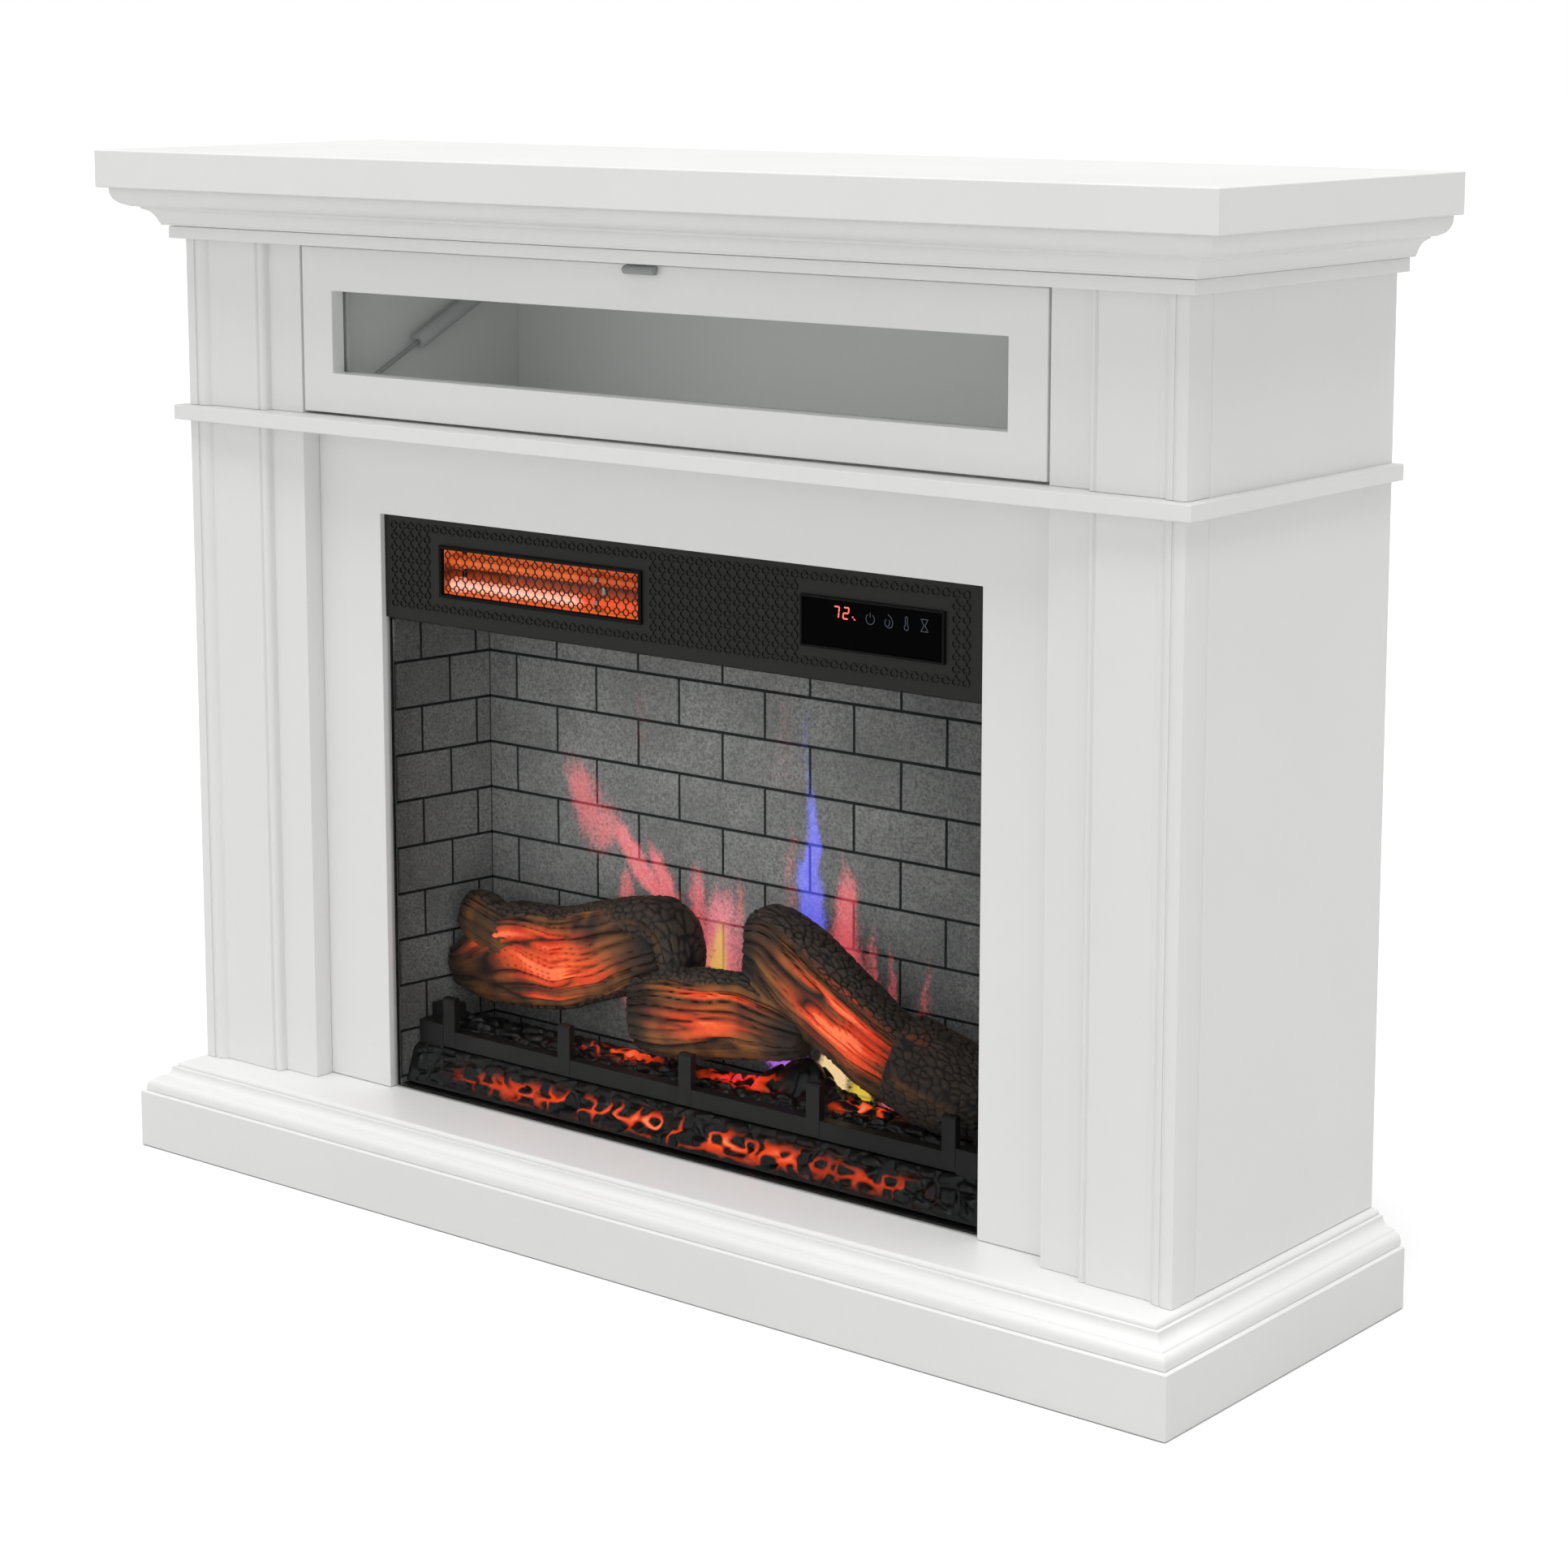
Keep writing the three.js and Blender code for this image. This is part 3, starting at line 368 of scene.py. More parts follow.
white = lacquer("satin_lacquer_on_fibreboard", "#ebebea", "#e6e6e5", 0.36)
inner_white = lacquer("satin_lacquer_inside_the_case", "#d9d9d8", "#d2d2d2", 0.5)
print("made", white.name, "and", inner_white.name)

# %% [markdown]
# ## The mantel: boards first
# Sawn boards are outlines carried straight, with a 1 mm arris. The top is one thick board with a
# clean square edge; the ledge half-way up wraps the pilasters, so its outline is a wide U.

# %% Top board, side panels and ledge
board = partial(make_piece, finish=white, slot="painted_mdf")
board("mantel_top_board", block(*box_mm("top_board")), replaces=["top_board"], ease=1.2)
for side in ("left", "right"):
    node = f"{side}_side_panel"
    board(f"{side}_case_side", block(*box_mm(node)), replaces=[node], ease=0.7)

PLAY, PANEL = 0.3, 12.0
ledge_low, ledge_high = box_mm("mid_ledge")
inner_x = body_half - PANEL - PLAY
inner_y = box_mm("compartment_floor")[0][1] - PLAY
rabbet_y = box_mm("right_side_panel")[0][1] - PLAY
half_ledge = [(ledge_high[0], ledge_low[1]), (ledge_high[0], back), (body_half + PLAY, back),
              (body_half + PLAY, rabbet_y), (inner_x, rabbet_y), (inner_x, inner_y)]
ledge = half_ledge + [(-x, y) for x, y in reversed(half_ledge)]
board("ledge_board", prism(ledge, ledge_low[2], ledge_high[2]), replaces=["mid_ledge"], ease=1.0)
print("ledge reaches", round(ledge_high[0] - body_half, 1), "mm beyond the body")

# %% [markdown]
# ## Mouldings
# The crown is an ovolo above a cove, the base moulding a cove above an ovolo. A real one is run past
# a spindle cutter and mitred at the corners, so a section carried round three sides is the same act.

# %% Path round three sides


def three_sides(front):
    """From the back on the left, round the front corners, to the back on the right."""
    return [(-body_half, back, 0), (-body_half, front, 0), (body_half, front, 0), (body_half, back, 0)]


def moulding(name, section, node, front, arris):
    """One mitred moulding that stands for a CAD node."""
    board(name, carried(eased(section, arris), three_sides(front)), replaces=[node], smooth=28)


# %% Crown, frieze strip and base moulding
crown_low, crown_high = box_mm("crown_moulding")
foot, top = crown_low[2], crown_high[2]
crown = np.vstack([
    [(0.3, foot), (14.1, foot), (14.1, foot + 1.7)],
    bend((14.9, foot + 1.9), (17.6, foot + 11.4), (25.3, foot + 13.2)),
    [(25.6, foot + 15.0), (31.0, foot + 15.2)],
    bend((31.4, foot + 15.6), (42.6, foot + 18.4), (43.1, foot + 28.4)),
    [(43.1, top), (0.3, top)],
])
moulding("crown", crown, "crown_moulding", body_front, 0.3)

frieze_low, frieze_high = box_mm("frieze_strip")
strip = rectangle(0.3, frieze_high[0] - body_half, frieze_low[2], frieze_high[2])
moulding("frieze", strip, "frieze_strip", body_front, 0.9)

base_low, base_high = box_mm("base_moulding")
foot, top = base_low[2], base_high[2]
base = np.vstack([
    [(6.2, foot), (24.6, foot)],
    bend((24.6, foot + 0.4), (25.4, foot + 8.6), (19.8, foot + 9.8)),
    [(18.9, foot + 11.2)],
    bend((17.2, foot + 11.6), (10.2, foot + 12.4), (9.5, foot + 18.4)),
    [(9.5, top), (6.2, top)],
])
moulding("base_mould", base, "base_moulding", base_front, 0.3)
print("crown reaches", round(crown_high[0] - body_half, 1), "mm, base", round(base_high[0] - body_half, 1))

# %% Hearth board and plinth
EDGE_WIDTH = 60
hearth_low, hearth_high = box_mm("hearth_board")
reach, top = hearth_high[0] - body_half, hearth_high[2]
rounded = np.vstack([
    [(-EDGE_WIDTH, hearth_low[2]), (reach - 0.4, hearth_low[2]), (reach, hearth_low[2] + 0.6)],
    bend((reach, top - 3.4), (reach, top), (reach - 4.6, top), 8),
    [(-EDGE_WIDTH, top)],
])
inside = EDGE_WIDTH - 0.2
slab = block((inside - body_half, base_front + inside, hearth_low[2] + 0.2), (body_half - inside, back, top))
edge = carried(rounded, three_sides(base_front))
board("hearth", together(edge, slab), replaces=["hearth_board"], smooth=28)

plinth_low, plinth_high = box_mm("plinth")
ring = [(x, y, 0) for x, y in rectangle(plinth_low[0], plinth_high[0], plinth_low[1], plinth_high[1])]
skirting = carried(rectangle(-16, 0, 0, plinth_high[2]), ring, closed=True)
board("plinth_boards", skirting, replaces=["plinth"], ease=1.0)
print("hearth", np.round(hearth_high - hearth_low, 1), "plinth", np.round(plinth_high - plinth_low, 1))

# %% [markdown]
# ## Pilasters
# Each pilaster is one moulded board seen in plan: a flat strip beside the panel, a bead and a quirk,
# a field that stands forward, and a round that rises to the outer corner. One outline serves four
# pieces, because the right-hand ones are its mirror image.

# %% Plan of a pilaster


def pilaster_plan(low, high):
    """Outline in (x, y) for the right-hand side, from the inner strip out to the corner and back."""
    inner, outer, face, rear = low[0], high[0], low[1], high[1]
    strip, field = face + 14.1, face + 6.1
    return np.vstack([
        [(inner, rear), (inner, strip), (inner + 35.7, strip)],
        arc((inner + 40.2, field + 4.5), 4.5, 180, 270, 8),
        [(inner + 41.6, field + 2.2), (inner + 43.0, field + 2.2), (inner + 43.9, field)],
        [(outer - 26.4, field), (outer - 23.4, field - 0.8)],
        arc((outer - 11.4, face + 11.6), 11, 212, 270, 10),
        [(outer - 11.4, face + 1.6), (outer - 8.8, face + 1.6), (outer - 8.8, face)],
        [(outer, face), (outer, rear - 3), (outer - 12.3, rear - 3), (outer - 12.3, rear)],
    ])


for level in ("lower", "upper"):
    low, high = box_mm(f"{level}_right_pilaster")
    plan = eased(pilaster_plan(low, high), 0.35)
    for side, sign in (("left", -1), ("right", 1)):
        node = f"{level}_{side}_pilaster"
        board(f"{node}_board", prism(plan * (sign, 1), low[2], high[2]), replaces=[node], smooth=28)
print("pilaster is", round(high[0] - low[0], 1), "mm wide over the corner")

# %% Surround panel with the opening for the insert
OPENING = 296.2
low, high = box_mm("surround_panel")
opening_top = box_mm("header_panel")[1][2] + PLAY
surround = [(low[0], low[2]), (-OPENING, low[2]), (-OPENING, opening_top), (OPENING, opening_top),
            (OPENING, low[2]), (high[0], low[2]), (high[0], high[2]), (low[0], high[2])]
board("surround", prism(surround, low[1], high[1], "y"), replaces=["surround_panel"], ease=0.8)
print("opening", 2 * OPENING, "by", round(opening_top - low[2], 1))

# %% [markdown]
# ## Case parts that need only paint
# The apron rail, compartment walls, floor, back and rear brace are plain boards whose CAD shape is
# already right. They keep their CAD mesh and take the lacquer; inside the compartment it is greyer.

# %% Paint the case


def paint(finish, *names):
    """Gives CAD nodes a finish by their material slots."""
    for node_name in names:
        slots = frame["nodes"][node_name].material_slots
        for index in range(len(slots)):
            slots[index].material = finish


paint(white, "apron_rail", "rear_brace", "glass_bead")
paint(inner_white, "compartment_floor", "compartment_back", "left_compartment_wall", "right_compartment_wall")

# %% [markdown]
# ## Camera and studio
# The camera stands to the right of the mantel and a little above it, with a long lens, as a
# catalogue picture is taken. A wide diffuser overhead makes tops the brightest, a weaker one in front
# opens the shadows under the ledge, and the right side stays in half shade. Two small panels behind
# the panes stand for the light that a real room sends through glass.

# %% Camera


def make_camera():
    """A long lens to the right of the mantel, tipped down a little, with a small downward shift."""
    lens = bpy.data.cameras.new("catalogue_lens")
    lens.lens, lens.sensor_width, lens.shift_y = 81.38, 36.0, -0.12
    camera = into_scene("catalogue_camera", lens)
    camera.location = (1.7157, -2.0717, 0.9368)
    camera.rotation_euler = (math.radians(90 - 9.21), 0, math.radians(38.72))
    bpy.context.scene.camera = camera
    return camera


print("camera at", tuple(round(x, 2) for x in make_camera().location))

# %% Floor


def make_floor(reach=40.0, sink=-0.0005):
    """A wide matt sheet in metres. It looks nearly white but throws little back, so mouldings keep shade."""
    made, tree, shader = new_finish("seamless_paper", Roughness=0.9, Specular_IOR_Level=0.1)
    seen = add(tree, "LightPath").outputs["Is Camera Ray"]
    bright = blend(tree, noise(tree, 400, 2.0), "#f9f9f9", "#fbfbfb")
    wire(tree, shader, Base_Color=blend(tree, seen, "#cccccc", bright))
    mesh = bpy.data.meshes.new("floor")
    corners = [(x, y, sink) for x, y in rectangle(-reach, reach, -reach, reach)]
    mesh.from_pydata(corners, [], [(0, 1, 2, 3)])
    mesh.materials.append(made)
    into_scene("floor", mesh)


make_floor()

# %% Lights and surround


def wide_sun(name, towards, spread, strength):
    """A sun seen as a disc of so many degrees, like a large diffuser; towards points at it."""
    light = bpy.data.lights.new(name, "SUN")
    light.angle, light.energy = math.radians(spread), strength
    x, y, z = towards
    into_scene(name, light).rotation_euler = (math.atan2(math.hypot(x, y), z), 0, math.atan2(x, -y))


def fill_panel(name, place, size, power):
    """A thin diffuser just behind a pane: it faces straight back and is itself out of sight."""
    light = bpy.data.lights.new(name, "AREA")
    light.shape, light.energy = "RECTANGLE", power
    light.size, light.size_y = size
    panel = into_scene(name, light)
    panel.location = place
    panel.rotation_euler = (math.radians(90), 0, 0)
    panel.visible_camera = panel.visible_glossy = False


def white_surround(strength):
    """A white studio: it lights the scene evenly, and is plain white where the camera sees past the floor."""
    world = bpy.data.worlds.new("studio")
    bpy.context.scene.world = world
    tree = empty_tree(world)
    seen = add(tree, "LightPath").outputs["Is Camera Ray"]
    sky = add(tree, "Background", {"Color": "#ffffff", "Strength": remap(tree, seen, 0, 1, strength, 1.0)})
    add(tree, "OutputWorld", {"Surface": sky.outputs[0]})


wide_sun("overhead_diffuser", (0.1, -0.16, 0.98), 50, 2.3)
wide_sun("front_diffuser", (0.03, -0.98, 0.2), 45, 0.26)
fill_panel("firebox_fill", (-0.04, -0.07, 0.27), (0.38, 0.34), 0.34)
fill_panel("compartment_fill", (0, -0.075, 0.69), (0.62, 0.05), 0.2)
white_surround(0.6)
bpy.context.scene.view_settings.view_transform = "Standard"

# %% [markdown]
# ## The drop-down door
# A routed frame of the same fibreboard holds a thin pane in a rabbet at its back. A frame is easiest
# as rings: each ring is one rectangle at one depth, and the rings follow the section of the wood from
# the outer edge over the face, into the window, down the rabbet and back. A boolean cut would give
# the same shape with worse edges to ease.

# %% A frame from rings


def framed(rings):
    """Point = corner of ring i's rectangle (x0, x1, z0, z1) at its depth y; neighbouring rings are joined."""
    points = [(x, y, z) for x0, x1, z0, z1, y in rings for x, z in rectangle(x0, x1, z0, z1)]
    return np.array(points), grid(len(rings), 4, True, True).tolist()


def inset(low, high, by):
    """The (x0, x1, z0, z1) rectangle of a box, drawn in by so many mm."""
    return low[0] + by, high[0] - by, low[2] + by, high[2] - by


def stepped(low, high, steps):
    """A frame whose rings follow one box: each step is (mm drawn in, depth)."""
    return framed([(*inset(low, high, by), y) for by, y in steps])


door_low, door_high = box_mm("door_frame")
glass_low, glass_high = box_mm("door_glass")
window = inset(glass_low, glass_high, 7.2)
rabbet = inset(glass_low, glass_high, -PLAY)
outside = inset(door_low, door_high, 0)
face, rear, step = door_low[1], door_high[1], door_high[1] - 4.6
door = framed([(*outside, rear), (*outside, face), (*window, face), (*window, step), (*rabbet, step),
               (*rabbet, rear)])
board("door_rails_and_stiles", door, body="door", replaces=["door_frame"], ease=0.9)
print("window", round(window[1] - window[0], 1), "by", round(window[3] - window[2], 1), "mm")

# %% [markdown]
# ### Float glass
# A flat pane bends nothing that you can see; it only mirrors a little, more at a grazing angle, and
# darkens what is behind by a few per cent. So it is a clear shader mixed with a mirror by a Fresnel
# node, which also lets lamp light through. A wipe mark or two shows in the mirror's roughness. The
# index is set low, since a coated or cleaned pane in a soft studio throws back very little.

# %% Clear glass


def pane_glass(name, tint, index):
    """Transparent and glossy, mixed by Fresnel for that index."""
    made = bpy.data.materials.new(name)
    tree = empty_tree(made)
    haze = remap(tree, noise(tree, 70, 4.0), 0.45, 0.8, 0.0, 0.08)
    clear = add(tree, "BsdfTransparent", {"Color": tint})
    mirror = add(tree, "BsdfGlossy", {"Roughness": haze})
    edge = add(tree, "Fresnel", {"IOR": index})
    mix = add(tree, "MixShader", {0: edge.outputs[0], 1: clear.outputs[0], 2: mirror.outputs[0]})
    add(tree, "OutputMaterial", {"Surface": mix.outputs[0]})
    return made


clear_glass = pane_glass("float_glass", "#f7f9f8", 1.12)
coated_glass = pane_glass("coated_tempered_glass", "#f6f7f7", 1.05)
paint(clear_glass, "door_glass")
paint(coated_glass, "front_glass")
print("glass", clear_glass.name, coated_glass.name)

# %% [markdown]
# ### Metals and small plastics
# Zinc-plated steel is bright with a faint brushed streak. Powder coat is a baked plastic skin with a
# fine stipple, grey on the stays and nearly black on the insert. Moulded parts have a dull spark finish.

# %% One finish for metals, powder coats and mouldings


def stippled(name, light, dark, rough, grain, depth, metal=0.0, stretch=(1, 1, 1), shine=0.5):
    """Two tones and a bump from one noise; grain is its size in mm, depth its height in mm."""
    made, tree, shader = new_finish(name, Metallic=metal, Specular_IOR_Level=shine)
    place = add(tree, "TexCoord").outputs["Object"]
    laid = add(tree, "Mapping", {"Vector": place, "Scale": stretch}).outputs[0]
    spots = noise(tree, grain, 2.0, Vector=laid)
    wire(tree, shader, Base_Color=blend(tree, spots, dark, light),
         Roughness=remap(tree, spots, 0, 1, rough - 0.06, rough + 0.06),
         Normal=relief(tree, spots, depth, 0.6))
    return made


BRUSHED = (1.0, (0.1, 1, 1))
zinc = stippled("zinc_plated_steel", "#c4c5c6", "#a7a9aa", 0.3, 2, 0.01, *BRUSHED)
grey_coat = stippled("grey_powder_coat", "#9b9d9d", "#8e9090", 0.45, 1.5, 0.03)
stay_coat = stippled("pale_grey_powder_coat", "#b3b5b5", "#a6a8a8", 0.5, 1.5, 0.03)
black_coat = stippled("black_powder_coat_on_steel", "#1b1b19", "#141412", 0.45, 2.5, 0.03, shine=0.3)
black_gloss = stippled("gloss_black_plastic", "#070708", "#050506", 0.25, 30, 0.005, shine=0.12)
black_lens = stippled("black_display_acrylic", "#020202", "#010101", 0.3, 30, 0.0, shine=0.02)
black_dull = stippled("moulded_black_plastic", "#1b1b1b", "#151515", 0.5, 1.5, 0.03)
grey_dull = stippled("moulded_grey_plastic", "#8f9191", "#858787", 0.5, 1.5, 0.03)
bright_sheet = stippled("bright_rolled_aluminium", "#e0e0e0", "#cfcfcf", 0.2, 8, 0.01, *BRUSHED)
solder_mask = stippled("green_solder_mask_on_glass_fibre", "#2c5b3a", "#234a30", 0.35, 6, 0.02)

paint(zinc, "left_pivot_pin", "right_pivot_pin", "blower_motor", "spindle_motor")
paint(grey_coat, "left_stay_bracket", "right_stay_bracket", "left_stay_anchor", "right_stay_anchor")
paint(grey_dull, "magnet_catch")
paint(black_coat, "insert_housing", "housing_rear_cover")
paint(black_dull, "blower_wheel", "cord_gland")
paint(bright_sheet, "flame_spindle")
paint(solder_mask, "control_board", "led_strip")
print("finishes", len(bpy.data.materials))

# %% [markdown]
# ## Pull and stays
# The pull is a short round bar on a hook over the door's top edge. Each stay is a damper: a fat
# cylinder with a crimped ring near its mouth, and a thin rod that slides out as the door falls.

# %% Door pull
pull_low, pull_high = box_mm("door_pull")
half = pull_high[0]
nose = [(0, -half), (2.2, -half), (3.0, -half + 0.5), (3.3, -half + 1.4)]
grip = nose + [(r, -d) for r, d in reversed(nose)]
bar = turned(grip, (0, pull_low[1] + 3.3, pull_low[2] + 3.4), (1, 0, 0), 40)
make_piece("pull_bar", bar, grey_coat, "door", ["door_pull"], "grey_paint")
lip, fall, door_top = face - 0.3, door_high[2] - 7, door_high[2] + 0.3
hook = [(lip, fall), (lip, door_top), (face + 10, door_top), (face + 10, door_top + 0.9),
        (lip - 1.2, door_top + 0.9), (lip - 1.2, fall)]
make_piece("pull_hook", prism(hook, -half, half - 2, "x"), grey_coat, "door", slot="grey_paint", ease=0.2)
print("pull", round(2 * half, 1), "mm long")

# %% Stays
joints = {j["name"]: j for j in frame["joints"]}
# The stud on the door's bracket, with the door shut, as (y, z).
STUD = np.array([-62.0, 634.5])


def stay_line(side):
    """The wall pivot in mm and the direction of the rod, from the two joints of that stay."""
    pivot = next(v for k, v in joints[f"{side}_stay_swing"].items() if k in ("pos_m", "origin_m", "point_m"))
    along = joints[f"{side}_stay_slide"]["axis"]
    return np.array(pivot) / MM, np.array(along, float)


def eye(centre, along, tail=12, hole=2.2, radius=5.0, thick=4.0):
    """A flat ring with a tail: the outline goes round the eye, then straight along the rod."""
    beside = np.cross((1, 0, 0), along)
    outline = np.vstack([arc((0, 0), radius, 48, 312, 28), [(tail, -3.4), (tail, 3.4)]])
    inner = arc((0, 0), hole, 48, 312, 28)
    inner = np.vstack([inner, inner[-1:] + (0.01, 0), inner[:1] + (0.01, 0)])
    half = thick / 2
    sheets = [(outline, -half), (outline, half), (inner, half), (inner, -half)]
    points = [centre + o[:, :1] * along + o[:, 1:] * beside + (h, 0, 0) for o, h in sheets]
    return np.vstack(points), grid(4, len(outline), True, True).tolist()


CYLINDER = [(0, 9.8), (5.4, 9.8), (6.4, 10.4), (6.75, 11.6), (6.75, 86.6), (6.1, 87.4), (6.1, 88.8),
            (6.75, 89.6), (6.75, 103.2), (6.2, 104.5), (5.6, 104.8), (2.4, 104.8), (2.4, 30), (0, 30)]
for side in ("left", "right"):
    pivot, along = stay_line(side)
    damper = together(turned(CYLINDER, pivot, along, 40), eye(pivot, along))
    make_piece(f"{side}_damper", damper, stay_coat, f"{side}_cylinder", [f"{side}_stay_cylinder"],
               "grey_paint")
    length = np.hypot(*(STUD - pivot[1:]))
    rod = [(0, 45), (1.7, 45), (2, 45.4), (2, length - 8.8), (0, length - 8.8)]
    slider = together(turned(rod, pivot, along, 24), eye(pivot + along * length, -along))
    make_piece(f"{side}_damper_rod", slider, zinc, f"{side}_rod", [f"{side}_stay_rod"], "bright_steel")
print("stay is", round(length, 1), "mm between its eyes")

# %% [markdown]
# ## Insert: embossed header
# The header is thin black steel, pressed with a net of small linked rings and left flat round its
# edge and round both windows. One ring is worked out once, as a polygon of a few dozen faces, and
# then copied to every place in the net by adding an array of centres.

# %% Plate with a window


def pierced(xs, zs, y0, y1):
    """A plate split at four xs and four zs into nine cells, the middle one left out and its edges walled."""
    points = [(x, y, z) for y in (y0, y1) for z in zs for x in xs]
    solid = {(i, j) for i in range(3) for j in range(3)} - {(1, 1)}
    far = len(xs) * len(zs)
    faces = []
    for i, j in sorted(solid):
        a, b = j * 4 + i, (j + 1) * 4 + i
        faces += [[a, a + 1, b + 1, b], [a + far, b + far, b + 1 + far, a + 1 + far]]
        edges = {(-1, 0): (a, b), (1, 0): (a + 1, b + 1), (0, -1): (a, a + 1), (0, 1): (b, b + 1)}
        open_edges = [pair for (di, dj), pair in edges.items() if (i + di, j + dj) not in solid]
        faces += [[p, q, q + far, p + far] for p, q in open_edges]
    return np.array(points), faces


header_low, header_high = box_mm("header_panel")
bezel_low, bezel_high = box_mm("heater_bezel")
display_low, display_high = box_mm("display_window")
h0, h1, h2, h3 = inset(bezel_low, bezel_high, 3)
plate = pierced([header_low[0], h0, h1, header_high[0]], [header_low[2], h2, h3, header_high[2]],
                header_low[1], header_high[1])
make_piece("header_plate", plate, black_coat, replaces=["header_panel"], slot="black_steel", ease=0.5)

# %% A net of linked rings
OVERLAP = 0.4


def copies(point_count, faces, count):
    """The same faces for count copies of a shape that has point_count points."""
    return (faces + np.arange(count)[:, None, None] * point_count).reshape(-1, 4)


def ring_net(centres, links_x, links_z, radius, wire_width, y0, y1, around=12):
    """Rings and links as separate closed islands.

    Ring point = centre + r (cos a, sin a), with r and y stepping round a square section, so each ring is
    a washer. A link is a small bar between two neighbouring rings.
    """
    angle = (np.linspace(0, 2 * np.pi, around, endpoint=False) + np.pi / around)[:, None]
    across = radius - wire_width * np.array([0, 0.15, 0.85, 1])
    depth = np.broadcast_to((y1, y0, y0, y1), (around, 4))
    ring = np.stack([np.cos(angle) * across, depth, np.sin(angle) * across], -1).reshape(-1, 3)
    offset = np.c_[centres[:, 0], np.zeros(len(centres)), centres[:, 1]]
    rings = (offset[:, None] + ring).reshape(-1, 3)
    shapes = [(rings, copies(len(ring), grid(around, 4, True, True), len(centres)))]
    corner = np.array([(-1, -1), (1, -1), (1, 1), (-1, 1)])
    six = np.array([(0, 1, 2, 3), (7, 6, 5, 4), (0, 4, 5, 1), (1, 5, 6, 2), (2, 6, 7, 3), (3, 7, 4, 0)])
    for axis, links in enumerate((links_x, links_z)):
        half = np.full((len(links), 2), wire_width / 2)
        half[:, axis] = links[:, 2] / 2
        flat = links[:, None, :2] + half[:, None] * corner
        x, z = flat[..., 0], flat[..., 1]
        box = np.stack([np.stack([x, np.full_like(x, y), z], -1) for y in (y0, y1)], 1)
        shapes.append((box.reshape(-1, 3), copies(8, six, len(links))))
    return together(*shapes)


def net_layout(x0, x1, z0, z1, columns, rows, radius, blocked=(), edge_links=False):
    """Ring centres on an even lattice, clear of the blocked rectangles, and the links between neighbours."""
    px, pz = (x1 - x0) / columns, (z1 - z0) / rows
    gx, gz = np.meshgrid(np.arange(columns), np.arange(rows), indexing="ij")
    x, z = x0 + (gx + 0.5) * px, z0 + (gz + 0.5) * pz
    free = np.ones(x.shape, bool)
    for bx0, bx1, bz0, bz1 in blocked:
        free &= ~((x > bx0 - radius) & (x < bx1 + radius) & (z > bz0 - radius) & (z < bz1 + radius))
    both = free[:-1] & free[1:]
    links_x = np.c_[x[:-1][both] + px / 2, z[:-1][both], np.full(both.sum(), px - 2 * radius + OVERLAP)]
    both = free[:, :-1] & free[:, 1:]
    links_z = np.c_[x[:, :-1][both], z[:, :-1][both] + pz / 2, np.full(both.sum(), pz - 2 * radius + OVERLAP)]
    if edge_links:
        stub = pz / 2 - radius + OVERLAP
        out = pz / 2 - stub / 2 + OVERLAP / 2
        ends = [np.c_[x[:, k], z[:, k] + sign * out, np.full(columns, stub)]
                for k, sign in ((0, -1), (-1, 1))]
        links_z = np.vstack([links_z, *ends])
    return np.c_[x[free], z[free]], links_x, links_z


front, behind = header_low[1], header_low[1] - 0.1
windows = [inset(bezel_low, bezel_high, -2.5), inset(display_low, display_high, -2.5)]
area = (header_low[0] + 6, header_high[0] - 12, header_low[2] + 8, header_high[2] - 3.6)
layout = net_layout(*area, 63, 8, 3.5, windows)
net = ring_net(*layout, 3.5, 1.1, front - 0.9, front + 0.3)
make_piece("header_embossing", net, black_coat, slot="black_steel", smooth=25)
print("embossed rings", len(layout[0]))

# %% Heater bezel and grille
lip = bezel_low[1]
steps = [(0, behind), (0, lip + 1.2), (1.0, lip), (2.4, lip + 0.2), (3.2, lip + 1.4), (3.2, behind + 1.6)]
bezel = stepped(bezel_low, bezel_high, steps)
make_piece("bezel", bezel, black_gloss, replaces=["heater_bezel"], slot="black_steel", ease=0.35)
layout = net_layout(*inset(bezel_low, bezel_high, 3.2), 22, 4, 3.1, edge_links=True)
grille = ring_net(*layout, 3.1, 0.9, front + 0.3, front + 1.1, around=16)
make_piece("pierced_grille", grille, black_coat, replaces=["heater_grille"], slot="black_steel", smooth=25)
print("grille rings", len(layout[0]))

# %% [markdown]
# ## Display
# Behind a black acrylic window sit red seven-segment digits and four dim touch marks: power, flame,
# thermometer and timer. Digits are built from their seven bars, and the marks from thin lines
# carried along paths, so they stay sharp at any distance.

# %% Display window and rim
on_display = partial(make_piece, slot="black_plastic")
lip = display_low[1]
steps = [(0, behind), (0, lip + 0.7), (0.7, lip), (1.6, lip), (2.2, lip + 0.9), (2.2, behind)]
rim = stepped(display_low, display_high, steps)
on_display("display_rim", rim, black_gloss, replaces=["display_window"], ease=0.15)
screen_y = lip + 1.0
x0, x1, z0, z1 = inset(display_low, display_high, 2.3)
on_display("display_lens", block((x0, screen_y, z0), (x1, behind, z1)), black_lens, ease=0.1)

# %% Glow finishes


def glowing(name, hex_value, strength):
    """A lit plastic: dark base, plain glow, and a slightly uneven gloss."""
    made, tree, shader = new_finish(name, Base_Color="#050505", Emission_Color=hex_value,
                                    Emission_Strength=strength)
    wire(tree, shader, Roughness=remap(tree, noise(tree, 3, 2.0), 0, 1, 0.3, 0.45))
    return made


digit_red = glowing("red_display_segment", "#ff6a52", 1.5)
mark_grey = glowing("dim_touch_mark", "#3c434d", 0.8)

# %% Seven-segment digits


